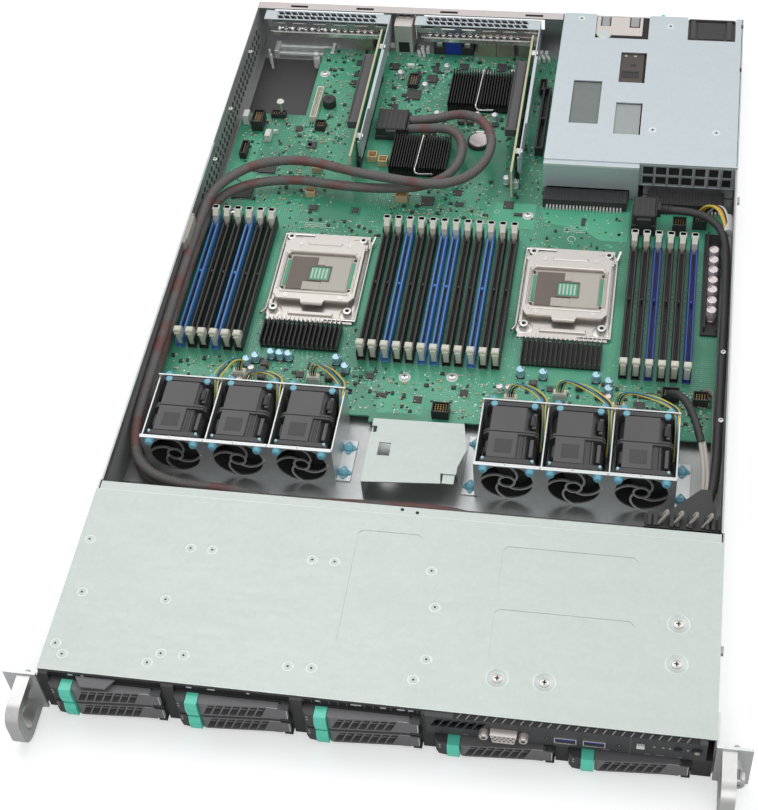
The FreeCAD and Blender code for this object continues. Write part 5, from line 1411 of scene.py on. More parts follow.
# A riser: its card with a pale cut edge and small parts, the slot, the bracket and its perforated arm.
def makeRiser(x, front, rear, armLeft, body):
    low, top, thick = risers["low"], risers["top"], risers["card"]
    plate = x + thick + risers["gap"]
    armFront, armRear = risers["armFront"], risers["armRear"]
    card = blocks([(x, x + thick, front, rear, low, top)])
    edge = blocks([
        (x - 0.05, x + thick + 0.05, front, rear, top - 0.3, top + 0.06),
        (x - 0.05, x + thick + 0.05, front - 0.05, front + 0.3, low, top)
    ])
    chips = [(x + thick, x + thick + 1.1, y, y + 5, 22, 30) for y in (front + 44, front + 78)]
    chips += [(x - 0.7, x, y, y + 1.6, 34.5, 37) for y in np.arange(front + 12, front + 46, 5)]
    slotFront, slotRear = risers["slotFront"], risers["slotFront"] + risers["slotLength"]
    reach, slotLow, slotHigh = x - risers["slotReach"], risers["slotLow"], risers["slotHigh"]
    middle = (slotLow + slotHigh) / 2
    slot = [
        (reach, x, slotFront, slotRear, slotLow, middle - 0.9),
        (reach, x, slotFront, slotRear, middle + 0.9, slotHigh),
        (x - 3, x, slotFront, slotRear, middle - 0.9, middle + 0.9),
        (reach, x, slotFront, slotFront + 2, middle - 0.9, middle + 0.9),
        (reach, x, slotRear - 2, slotRear, middle - 0.9, middle + 0.9),
    ]
    ribs = [
        (reach + 0.8, reach + 2.2, slotFront + 3, slotRear - 3, slotHigh, slotHigh + 0.3),
        (x - 2.4, x - 0.9, slotFront + 3, slotRear - 3, slotHigh, slotHigh + 0.3)
    ]
    pins = [
        (x - 0.4, x + 0.05, y, y + 0.5, slotLow - 1.4, slotLow + 0.2)
        for y in np.arange(slotFront + 3, slotRear - 3, 2)
    ]
    sheets = [(plate, plate + 1, front + 20, armRear, 20, top + 1)]
    sheets += [
        (plate - 1.6, plate + 0.1, front + 20, front + 21.2, 22, 38),
        (plate + 0.9, plate + 2.6, front + 60, rear - 30, top, top + 1)
    ]
    start = (armLeft + plate) / 2 - risers["holes"] * risers["pitch"] / 2
    stop = start + risers["holes"] * risers["pitch"]
    sheets += [
        (armLeft, start, armFront, armRear, top, top + 1), (stop, plate + 0.2, armFront, armRear, top, top + 1)
    ]
    sheets += [
        (start, stop, armFront, armFront + 0.7, top, top + 1),
        (start, stop, armRear - 1, armRear, top, top + 1)
    ]
    cell = (risers["pitch"], (armRear - armFront - 1.7) / 2)
    perforated = pierced(
        (start, armFront + 0.7, top + 1), (1, 0, 0), (0, 1, 0), (0, 0, -1), (risers["holes"], 2), cell,
        risers["hole"], risers["slant"]
    )
    count = int((plate + 1 - armLeft) // 18)
    tail = pierced(
        (armLeft, armRear - 1, 23), (1, 0, 0), (0, 0, 1), (0, 1, 0), (count, 1),
        ((plate + 1 - armLeft) / count, 17), (12, 8.5)
    )
    shade = blocks([(start, stop, armFront + 0.3, armRear - 1.2, top - 1.1, top - 0.9)])
    loops = [(a, armFront - 1.6, 33) for a in np.arange(armLeft + 14, plate - 14, 6.1)]
    fingers = hoop(loops, 1.9, 0.42, 12, 5, 1)
    rail = blocks(
        [
            (armLeft + 6, plate - 6, armFront - 4.4, armFront + 0.4, 30, 31),
            (armLeft + 9, plate - 9, armFront - 5.4, armFront - 4.4, 27, 31)
        ], 0.2
    )
    spacers = turned(
        [(x + thick, y, 36) for y in (front + 30, rear - 20)], [(2.6, 0), (2.6, risers["gap"])], 6, aim="right"
    )
    heads = turned(
        [(plate + 1, y, 36) for y in (front + 30, rear - 20)], [(2.5, 0), (2.4, 0.8), (1.4, 1.3)], 14,
        aim="right"
    )
    piece = "leftRiser" if x < 0 else "rightRiser"
    addPiece(
        piece + "Card", [(card, "board"), (edge, "boardEdge"), (chips, "chip", 0.15)], body,
        (body,)
    )
    addPiece(
        piece + "Slot", [(slot, "slotGrey", 0.3), (ribs, "softBlack", 0.15), (pins, "bright")], body,
    )
    addPiece(
        piece + "Bracket",
        [
            (sheets, "cage", 0.12), (perforated, "cage"), (tail, "plate"), (shade, "deepBlack"),
            (fingers, "bright"), (rail, "bright"), (spacers, "bright"), (heads, "bright"),
        ], body
    )


for riser in risers["cards"]:
    makeRiser(*riser)
print("risers made")


ports = {
    "jacks": ((-127, -111), (-14, 2), (2.6, 18.6), (23, 39)), "front": 690, "rear": 712, "low": 8,
    "jackTop": 21.5, "mouth": 5.9, "sill": 10.4, "lintel": 19, "floor": 699,
}


# Metal-shelled network jacks, open to the rear, the stacked serial ports and the blue video connector.
def makeRearPorts():
    front, rear, low, top = ports["front"], ports["rear"], ports["low"], ports["jackTop"]
    shells, linings, contacts, lamps, tabs = [], [], [], [], []
    for left, right in ports["jacks"]:
        middle = (left + right) / 2
        a, b = middle - ports["mouth"], middle + ports["mouth"]
        sill, lintel, floor = ports["sill"], ports["lintel"], ports["floor"]
        shells += [
            (left, right, front, floor, low, top), (left, a, floor, rear, low, top),
            (b, right, floor, rear, low, top), (a, b, floor, rear, low, sill), (a, b, floor, rear, lintel, top)
        ]
        linings += [
            (a, a + 0.3, floor, rear - 0.4, sill, lintel), (b - 0.3, b, floor, rear - 0.4, sill, lintel),
            (a + 0.3, b - 0.3, floor, floor + 0.3, sill, lintel),
            (a + 0.3, b - 0.3, floor + 0.3, rear - 0.4, sill, sill + 0.2)
        ]
        contacts += [
            (
                middle - 4.3 + 1.2 * n, middle - 3.8 + 1.2 * n, floor + 0.4, floor + 8, lintel - 0.5,
                lintel - 0.2
            )
            for n in range(8)
        ]
        lamps += [
            (left + 0.9, left + 3.4, rear - 0.1, rear + 0.05, top - 2.1, top - 0.8),
            (right - 3.4, right - 0.9, rear - 0.1, rear + 0.05, top - 2.1, top - 0.8)
        ]
        tabs += [
            (left + 2 + 4.4 * n, left + 4.6 + 4.4 * n, rear - 8, rear - 1.4, top, top + 0.35) for n in range(3)
        ]
        tabs += [
            (left - 0.15, left, rear - 9, rear - 2, 12, 16), (right, right + 0.15, rear - 9, rear - 2, 12, 16)
        ]
    addPiece(
        "networkJacks",
        [
            (shells, "jackShell", 0.15), (linings, "black"), (contacts, "padGold"), (lamps, "ivory"),
            (tabs, "bright", 0.1),
        ], replaces=("rear_ports",)
    )
    left, right, high = -90, -74, 38
    stack = [
        (left, right, front, rear - 13, low, high), (left, left + 0.8, rear - 13, rear, low, high),
        (right - 0.8, right, rear - 13, rear, low, high)
    ]
    stack += [
        (left + 0.8, right - 0.8, rear - 13, rear, z, z + t) for z, t in ((low, 3.2), (18.4, 4.8), (30.4, 7.6))
    ]
    tongues = [(left + 2.2, right - 2.2, rear - 13, rear - 1.6, z, z + 1.9) for z in (12.8, 24.8)]
    spring = [
        (left + 2.5 + 6.4 * n, left + 6.4 + 6.4 * n, rear - 9, rear - 2, high, high + 0.3) for n in range(2)
    ]
    dark = [
        (left + 0.8, right - 0.8, rear - 13, rear - 12.8, 11.2, 30.4),
        (left + 3, right - 3, front - 0.3, front, 9, 20)
    ]
    addPiece(
        "serialPorts",
        [(stack, "portBeige", 0.12), (tongues, "videoBlue", 0.1), (spring, "bright", 0.1), (dark, "black")],
    )
    left, right, high = -55, -18.6, 20.5
    dOutline = np.array([(-44.6, 10), (-29, 10), (-28, 18.4), (-45.6, 18.4)])
    base = [(left, right, front, 703, low, 16), (left + 1, right - 1, 703, 709.6, low, high)]
    blueBody = [(-44, -29.6, front - 0.4, 706, 9, high + 0.4)]
    plates = [(left + 1, right - 1, 709.6, 710.6, low, high)]
    feet = [(x, x + 5, front + 1, 705, 15.5, 19.6) for x in (-52, -26.6)]
    posts = turned(
        [(x, 709.6, 14.3) for x in (-49.3, -24.3)], [(2.7, 0), (2.7, -2.3), (1.2, -2.3), (1.1, -0.6)][::-1], 6,
        aim="forward"
    )
    rimD = collar(dOutline, dOutline * 0.9 + np.array([-3.68, 1.42]), 710.6, 712)
    insert = bar(dOutline * 0.88 + np.array([-4.416, 1.704]), 710.6, 711.4)
    pinRows = [
        (-36.8 - 5.6 + 2.8 * n - 1.4 * (row == 1), 711.5, 14.2 + 2.1 * (row - 1)) for row in range(3)
        for n in range(5)
    ]
    pinDots = turned(pinRows, [(0.5, -0.1), (0.5, 0.1)], 8, aim="forward")
    addPiece("rearVideo", [
        (base, "softBlack", 0.3), (blueBody, "videoBlue", 0.4), (plates, "bright"), (feet, "bright", 0.3),
        (posts, "bright"), (rimD, "bright"), (insert, "videoBlue"), (pinDots, "deepBlack"),
    ])
    tabs = [(x, x + 4.2, 696, 698, 8, 13) for x in (-108, -102, -96)] + [
        (x, x + 3, 690, 694.5, 8, 14) for x in (-67, -62, 41.5, 46)
    ]
    addPiece("rearTabs", [(tabs, "white", 0.3)])


makeRearPorts()
print("rear ports made")


drives = {
    "lefts": (-211, -126, -41, 44, 129),
    "trays": ((0, 4.5), (1, 4.5), (2, 4.5), (3, 4.5), (4, 4.5), (0, 21.5), (1, 21.5), (2, 21.5)), "width": 76,
    "height": 15, "latch": (8, 15.9), "lever": 16.3, "grilleEnd": 14, "pin": (3.6, -4.9),
    "marks": (
        (-198, 3.4), (-189, 2), (-118, 3.6), (-104, 5.2), (-78, 2), (-33, 3), (-10, 7), (9, 4), (20, 5),
        (27, 3.4)
    ),
}


# The mint latch, the lamps, a deep-black sheet of painted shade for the dark inside of each drive tray, and
# the pale end line of its lever, a painted highlight on its edges.
def makeTrayTrims():
    for number, (column, low) in enumerate(drives["trays"], 1):
        x, top = drives["lefts"][column], low + drives["height"]
        right = x + drives["width"]
        left, stop = x + drives["latch"][0] - 0.1, x + drives["latch"][1]
        skin = [
            (-1.9, low + 0.4), (-10.6, low + 0.4), (-11.45, low + 8), (-10.2, top - 0.4), (-1.9, top - 0.4)
        ]
        latch = crossBar(skin, left, stop)
        grip = blocks(
            [
                (left + 1.2, stop - 1.2, -11.7, -11.2, low + 6.4 + 1.4 * n, low + 7.1 + 1.4 * n)
                for n in range(2)
            ], 0.2
        )
        lamps = turned(
            [(x + 3.1, -9.15, low + 11.6), (x + 3.1, -9.15, low + 8.6)],
            [(0.75, -0.2), (0.75, 0.05), (0.4, 0.12)], 10, aim="forward"
        )
        # A deep-black sheet just inside the tray's front: painted shade inside the tray.
        paintedShadeInside = blocks(
            [(x + drives["lever"] + 2.2, right - drives["grilleEnd"] + 1, -2.6, -1.9, low + 2.3, top - 2.3)]
        )
        seam = blocks([(x + 7.45, x + 7.7, -9.7, -2, low + 0.8, top - 0.8)])
        body = "drive_tray_%d" % number
        addPiece(
            "trayTrim%d" % number,
            [(latch, "mint"), (grip, "mint"), (lamps, "flexGrey"), (paintedShadeInside, "deepBlack"), (seam, "deepBlack")],
            body
        )
        pinX, pinY = right - drives["pin"][0], drives["pin"][1]
        # Pale lines at the lever's end and along its top edge: painted highlights on the bevels.
        line = [
            (pinX + 1.75, pinX + 2.24, pinY - 2.06, pinY + 0.4, low + 2.6, top - 2.6),
            (right - 14, pinX - 3.4, pinY - 2.07, pinY - 1.95, top - 0.75, top - 0.45)
        ]
        addPiece("leverTrim%d" % number, [(line, "edgeBright")], "tray_lever_%d" % number)


# The recess under the cover: a deep-black strip of painted shade in the recess, with small cells and a few
# bright marks.
def makeTopBar():
    cells = [(x, x + 0.55, -1.15, -0.95, 38.4, 41.9) for x in np.arange(-47, 36, 5.7)]
    marks = [(x, x + wide, -1.2, -0.95, 40.2, 41.4) for x, wide in drives["marks"]]
    # The deep-black strip stands for the shade in the recess: painted shade.
    strip = [(-217.5, 37.5, -1.1, -0.98, 37.2, 42.1)]
    addPiece(
        "topBarTrim", [(strip, "deepBlack"), (cells, "lever"), (marks, "edgeBright", 0.1)]
    )


panel = {
    "front": -4, "video": (88, 30.8, 16.4, 8.4), "proud": -9.1, "nuts": 12.5, "usb": (126.5, 144.5),
    "usbLow": 26.6, "usbHigh": 33.2, "slashes": (58, 206, 5.7), "top": 42.2,
    "pinholes": ((115, 30.4), (160, 30.4)), "lamps": (181.5, 187, 191, 202),
}


# The video port, the serial ports with painted shade inside their frames, pinholes, lamps and the leaning
# slashes of the front panel.
def makePanelTrim():
    y, (x, z, wide, high) = panel["front"], panel["video"]
    a, b, c, d = wide / 2 + 0.25, wide / 2 - 1.5, high / 2 + 0.2, high / 2 + 0.2
    outline = np.array([(x - b, z - c), (x + b, z - c), (x + a, z + d), (x - a, z + d)])
    inner = (outline - (x, z)) * (0.92, 0.84) + (x, z)
    shell = collar(outline, inner, panel["proud"], y)
    face = bar(inner, panel["proud"] + 0.25, y)
    holes = [
        (x - 5.6 + 2.8 * n - 1.4 * (row == 1) + 0.5, panel["proud"] + 0.25, z - 2.2 + 2.2 * row)
        for row in range(3) for n in range(5)
    ]
    dots = turned(holes, [(0.75, -0.1), (0.72, 0.08)], 8, aim="forward")
    nuts = turned(
        [(x + s * panel["nuts"], y, z) for s in (-1, 1)],
        [(3.05, 0), (3.05, 4.4), (2.6, 5.05), (1.5, 5.05), (1.4, 3.6)], 12, aim="forward"
    )
    bores = turned(
        [(x + s * panel["nuts"], y, z) for s in (-1, 1)], [(1.45, 3.4), (1.4, 3.75)], 10, aim="forward"
    )
    addPiece(
        "videoPort",
        [
            (shell, "portBeige"), (face, "portBeige"), (dots, "deepBlack"), (nuts, "portBeige"),
            (bores, "deepBlack")
        ]
    )
    frames, tongues, paintedShadeCaves = [], [], []
    low, top = panel["usbLow"], panel["usbHigh"]
    for x in panel["usb"]:
        ring = [(x - 7.05, low - 0.05), (x + 7.05, low - 0.05), (x + 7.05, top + 0.05), (x - 7.05, top + 0.05)]
        hole = [(x - 6.3, low + 0.8), (x + 6.3, low + 0.8), (x + 6.3, top - 0.8), (x - 6.3, top - 0.8)]
        frames.append(collar(ring, hole, y - 0.9, y + 0.5))
        tongues.append((x - 5.6, x + 5.6, y - 0.4, y + 1.5, low + 3.4, low + 5))
        # A deep-black sheet just inside each port's frame: painted shade in the port's depth.
        paintedShadeCaves.append((x - 6.2, x + 6.2, y + 0.3, y + 0.5, low + 0.9, top - 0.9))
    addPiece(
        "frontSerialPorts", [(together(frames), "bright"), (tongues, "videoBlue", 0.1), (paintedShadeCaves, "deepBlack")],
    )
    start, stop, pitch = panel["slashes"]
    top = panel["top"]
    slashes = [
        slab([(a, -3.7), (a + 0.7, -3.7), (a + 2.9, -0.3), (a + 2.2, -0.3)], top + 0.02, top + 0.14)
        for a in np.arange(start, stop, pitch)
    ]
    band = blocks([(start - 2, stop + 3, -3.85, -0.15, top - 0.1, top + 0.06)])
    rings = turned(
        [(a, y, b) for a, b in panel["pinholes"]], [(1.5, 0), (1.5, 0.12), (0.8, 0.12)], 12, aim="forward"
    )
    points = turned([(a, y, b) for a, b in panel["pinholes"]], [(0.6, 0), (0.5, 0.2)], 8, aim="forward")
    lamps = turned(
        [(a, y, 33.5) for a in panel["lamps"]], [(0.8, 0), (0.8, 0.15), (0.4, 0.2)], 10, aim="forward"
    )
    step = blocks([(166.6, 167, y - 0.12, y, 22, 41.8)])
    lower = blocks(
        [
            (a, a + wide, y - 0.15, y, 23.2, 24.4) for a,
            wide in ((62, 3), (72, 4), (150, 4), (176, 3), (183, 5), (196, 3))
        ], 0.05
    )
    addPiece(
        "panelMarks",
        [
            (band, "deepBlack"), (together(slashes), "slash"), (rings, "deepBlack"), (points, "flexGrey"),
            (lamps, "flexGrey"), (step, "lever"), (lower, "lever"),
        ]
    )
    rim = turned([(207.6, -5.6, 33.5)], [(1.7, 0), (1.7, 0.1), (1.3, 0.1)], 20, aim="forward")
    addPiece("powerRing", [(rim, "flexGrey")], "power_button")


screws = {
    "x": 232.56, "z": 21.6, "knob": (-17.8, -8.8, 5.5), "ribs": 28, "sleeve": (-8.7, -5, 4.35),
    "thread": (-2.7, 9.3, 2.5)
}


# The captive thumbscrews: a ribbed knob with a crossed recess, its sleeve and the threaded end.
def makeThumbscrews():
    front, rear, radius = screws["knob"]
    for side, name in ((1, "thumbscrew_right"), (-1, "thumbscrew_left")):
        x, z = side * screws["x"], screws["z"]
        angle = 2 * math.pi * np.arange(2 * screws["ribs"]) / (2 * screws["ribs"])
        reach = np.where(np.arange(2 * screws["ribs"]) % 2, radius, radius - 0.45)
        ribbed = bar(np.stack([x + reach * np.cos(angle), z + reach * np.sin(angle)], 1), front + 2, rear - 1)
        smooth = turned(
            [(x, 0, z)],
            [
                (radius - 0.9, -rear), (radius - 0.3, 1 - rear), (radius - 0.6, -1.9 - front),
                (radius - 0.3, -1.4 - front), (radius - 0.4, -0.5 - front), (radius - 1.1, -front),
                (0.9, -front)
            ], 32, aim="forward"
        )
        bars = [
            (x - 2.6, x + 2.6, front - 0.05, front + 0.3, z - 0.45, z + 0.45),
            (x - 0.45, x + 0.45, front - 0.05, front + 0.3, z - 2.6, z + 2.6)
        ]
        low, high, wide = screws["sleeve"]
        neck = turned([(x, 0, z)], [(1.9, 3), (1.9, 5)], 14, aim="forward")
        sleeve = turned([(x, 0, z)], [(wide, -high), (wide, -low), (1.9, -low)], 24, aim="forward")
        start, stop, thick = screws["thread"]
        profile = []
        for n, y in enumerate(np.arange(start, stop - 0.9, 0.4)):
            profile.append((thick if n % 2 else thick - 0.32, -y))
        thread = turned(
            [(x, 0, z)], [(1.4, -stop)] + profile[::-1] + [(1.9, 3), (1.9, 5.2)], 16, aim="forward"
        )
        addPiece(
            "knob" + name.title().replace("_", ""),
            [
                (ribbed, "brushed"), (smooth, "brushed"), (bars, "deepBlack"), (sleeve, "bright"),
                (neck, "bright"), (thread, "bright"),
            ], name, (name,), smooth=True
        )


makeTrayTrims()
makeTopBar()
makePanelTrim()
makeThumbscrews()
print("front made")


cage = {
    "top": 43.2, "welds": ((77.6, 705), (156, 698.5), (148, 560), (200, 560)), "sheet": (62, 140, 513),
    "windows": (
        (78, 102.3, 564, 619.5), (115.7, 137.8, 619.3, 659.8), (115.8, 138, 552.8, 593),
        (91, 137.8, 678.5, 712), (171, 212.3, 680, 712)
    ), "grille": (141, 217.4, 518.5, 19, 42.2),
}


# What shows through the supply cage's windows, weld marks, bright cut edges, a painted highlight on the front
# sheet's bend, painted shade in the gaps and past the grille, the rear of the supplies.
def makeCageDetails():
    top = cage["top"]
    rims = []
    for left, right, front, rear in cage["windows"]:
        rims += [
            (left - 0.25, left, front, rear, top - 0.6, top + 0.05),
            (right, right + 0.25, front, rear, top - 0.6, top + 0.05),
            (left, right, front - 0.25, front, top - 0.6, top + 0.05)
        ]
    rings = hoop([(x, y, top) for x, y in cage["welds"]], 2.6, 0.6, 20, 6, 0.2)
    spots = turned(cage["welds"], [(1, top - 0.1), (0.9, top + 0.1)], 10)
    left, right, y = cage["sheet"]
    # Pale strips on the front sheet's bend, on its front face and top: painted highlight standing for the
    # bright reflection the sheet shows.
    foldHighlight = [(left + 1, right, y - 0.1, y + 0.2, 40.6, 42.6), (62, 219, 518.6, 518.9, top - 0.3, top + 0.05)]
    seam = blocks([(217.4, 217.9, 520, 711, top - 0.2, top + 0.08)] + [
        (216.9, 218.4, at, at + 5, top - 0.2, top + 0.1) for at in (640, 699)
    ])
    addPiece(
        "cageTrim",
        [
            (rims, "edgeBright"), (rings, "edgeBright"), (spots, "deepBlack"), (foldHighlight, "edgeBright"),
            (seam, "deepBlack")
        ]
    )
    inside = [
        ((76.5, 104, 561, 622, 40.9, 41.5), "grille"), ((114, 135.6, 617, 662, 40.9, 41.5), "brownDark"),
        ((114, 136.8, 550, 596, 40.9, 41.5), "bayGrey"), ((135.6, 139.6, 617, 662, 40.5, 40.7), "deepBlack"),
        # The deep-black strip beside the brown block is painted shade in the gap under the window's edge.
        ((117.4, 132.6, 627, 637, 41.5, 41.6), "black"), ((124.4, 129.6, 643, 646, 41.5, 41.6), "black"),
        ((118.4, 131.6, 635.2, 636.4, 41.6, 41.9), "chip"), ((119, 121, 656, 657.4, 41.5, 41.7), "portBeige"),
        ((127, 129, 656, 657.4, 41.5, 41.7), "portBeige"),
    ]
    addPiece("bayInside", [([row], look) for row, look in inside])
    lid = blocks([(91.3, 131.8, 685.2, 711.6, 40.9, 41.4)])
    # A deep-black sheet under the lid, wider than it: painted shade in the gap round the lid.
    gap = blocks([(91.2, 137.7, 678.7, 711.7, 40.7, 40.8)])
    tongues = [(96, 102.6, 697.5, 710, 41.4, 41.7), (121.6, 128, 699, 710, 41.4, 41.7)]
    slits = [(x, x + 1.2, 697.5, 710.4, 41.4, 41.5) for x in (94.8, 102.6, 120.2, 128.2)]
    slits += [(120.2, 129.4, 696.6, 698.2, 41.4, 41.5)]
    dent = turned([(98.6, 686)], [(6.6, 41.3), (6.2, 41.9), (5.4, 42.1), (0.1, 42.15)], 28)
    addPiece(
        "blankTop",
        [
            (lid, "portBeige"), (gap, "deepBlack"), (tongues, "bayGrey", 0.1), (slits, "softBlack"),
            (dent, "coverBright"),
        ], "supply_blank"
    )
    frameTop = [
        (171.5, 212, 680.5, 711, 40.6, 41), (172, 211.5, 709, 711, 41, 42.4),
        (172, 211.5, 680.5, 682.6, 41, 42.4)
    ]
    frameTop += [(179.5, 203, 684.5, 707.5, 41, 41.6)]
    halfRound = [(2.6 * math.cos(a), 41 + 1.5 * math.sin(a)) for a in np.linspace(0, math.pi, 9)]
    ribs = [moved(bar(halfRound, 683.5, 708.5), (x, 0, 0)) for x in (175.8, 206.8)]
    addPiece(
        "blowerTop", [(frameTop, "softBlack", 0.2), (together(ribs), "chip")], "supply_module"
    )
    left, right, y, low, high = cage["grille"]
    cells = pierced(
        (left, y - 0.3, low), (1, 0, 0), (0, 0, 1), (0, 1, 0), (7, 2),
        ((right - left) / 7, (high - low) / 2 - 0.4), (9.6, 9.6)
    )
    # A deep-black sheet a little past the grille: painted shade inside the cage.
    paintedShadeBehind = blocks([(left + 0.5, right - 0.5, y + 1.2, y + 1.4, low + 0.5, high - 1.5)])
    addPiece("cageGrille", [(cells, "plate"), (paintedShadeBehind, "deepBlack")])
    module = [(147.1, 170.5, 697.4, 697.7, 6.5, 22.2)]
    lining = [
        (146.5, 146.9, 698, 712.1, 6, 22.6), (170.7, 171.1, 698, 712.1, 6, 22.6),
        (146.5, 171.1, 698, 712.1, 6, 6.4), (146.5, 171.1, 698, 712.1, 22.2, 22.6)
    ]
    vents = turned(
        [(181 + 5.5 * n + 2.75 * (row % 2), 711.9, 30.6 + 3 * row) for row in range(2) for n in range(6)],
        [(1.7, -0.2), (1.7, 0.1)], 6, aim="forward"
    )
    addPiece(
        "supplyRear", [(module, "black"), (lining, "black"), (vents, "deepBlack")], "supply_module",
    )


makeCageDetails()
print("cage details made")


scatter = {
    "seed": 11, "top": 8,
    "fields": (
        (-210, 210, 263, 311, 1100, 1), (-95, 22, 572, 690, 800, 1.1), (-156, -112, 560, 690, 320, 1),
        (-210, -112, 470, 596, 480, 1), (-70, 22, 468, 526, 320, 0.9), (22, 60, 505, 690, 220, 0.9),
        (-150, -64, 312, 352, 150, 0.8), (50, 136, 346, 352, 30, 0.7), (-150, -64, 447, 470, 120, 0.8),
        (50, 136, 447, 496, 90, 0.8), (-16, 40, 312, 470, 40, 0.7), (137, 205, 262, 312, 240, 0.9),
    ),
    "keep": (
        (-209, -150, 312, 462), (-64, 50, 312, 462), (137, 194, 312, 462), (-146, -66, 354, 445),
        (53, 132, 354, 445), (-143, -77, 320, 348), (61, 126, 320, 348), (-34, 23, 610, 662),
        (-73, -20, 524, 571), (-12, 13, 560, 584), (-145, -131, 604, 620), (-153, -145, 588, 634),
        (-104, -95, 526, 654), (32, 41, 526, 654), (-92, -60, 570, 600),
    ),
    "packages": (
        (-177, 524, 16, 10), (-192, 494, 18, 15), (-159, 578, 7, 7), (-157, 569, 5, 3), (-66, 655, 9, 14),
        (-170, 276, 7, 7), (-160, 268, 8, 5), (-116, 281, 8, 8), (-104, 296, 7, 7), (-70, 270, 8, 8),
        (-50, 300, 7, 7), (-38, 282, 9, 5), (24, 290, 7, 7), (44, 276, 7, 7), (78, 278, 8, 6), (88, 300, 6, 6),
        (112, 276, 8, 6), (122, 284, 6, 6), (160, 300, 9, 6), (-30, 516, 20, 6), (44, 486, 8, 4),
        (-6, 494, 8, 5), (-128, 480, 8, 6), (-92, 480, 6, 6), (98, 482, 4, 9), (-50, 668, 6, 9),
        (12, 596, 7, 5), (-120, 672, 8, 8), (-121, 656, 5, 7),
    ), "pads": ((52, 486), (13, 305), (-23, 301.5), (-150, 655), (-196, 470)),
    "rings": ((12, 486, 2.6), (26, 489, 2), (-30, 474, 2.4), (90, 462, 3)),
    "holes": ((-189, 585), (-192, 556), (-100, 512), (-60, 500), (0, 480), (128, 470), (-170, 540)),
}


# Small parts scattered over the open fields of the board by a fixed seed, lying along or across it.
def makeScatter():
    chance = np.random.default_rng(scatter["seed"])
    top = scatter["top"]
    kinds = (
        ("chip", 2, 1.2, 0.7), ("tan", 1.9, 1.1, 0.9), ("flexGrey", 1.7, 1, 0.6), ("silk", 1.3, 0.8, 0.3),
        ("softBlack", 3, 2.4, 1.2), ("white", 1.5, 1, 0.5), ("bright", 1.2, 0.7, 0.45),
        ("boardPale", 5, 1.8, 0.12)
    )
    weights = np.array([0.15, 0.11, 0.13, 0.20, 0.05, 0.07, 0.09, 0.20])
    rows = {kind[0]: [] for kind in kinds}
    for left, right, front, rear, count, size in scatter["fields"]:
        x = chance.uniform(left + 2, right - 2, count)
        y = chance.uniform(front + 2, rear - 2, count)
        x = np.where(chance.random(count) < 0.55, np.round(x / 2.6) * 2.6, x)
        free = np.ones(count, dtype=bool)
        for a, b, c, d in scatter["keep"]:
            free &= ~((x > a) & (x < b) & (y > c) & (y < d))
        free &= ~((x < -156) & (y > 596)) & ~((x > 60) & (y > 497))
        pick = chance.choice(len(kinds), count, p=weights / weights.sum())
        turn = chance.random(count) < 0.5
        scale = size * chance.uniform(0.8, 1.25, count)
        for n in np.nonzero(free)[0]:
            look, long, wide, rise = kinds[pick[n]]
            across, deep = (long, wide) if turn[n] else (wide, long)
            across, deep = across * scale[n] / 2, deep * scale[n] / 2
            rows[look].append(about(x[n], y[n], across, deep, top, top + rise))
    addPiece("smallParts", [(row, look, 0.06) for look, row in rows.items()])


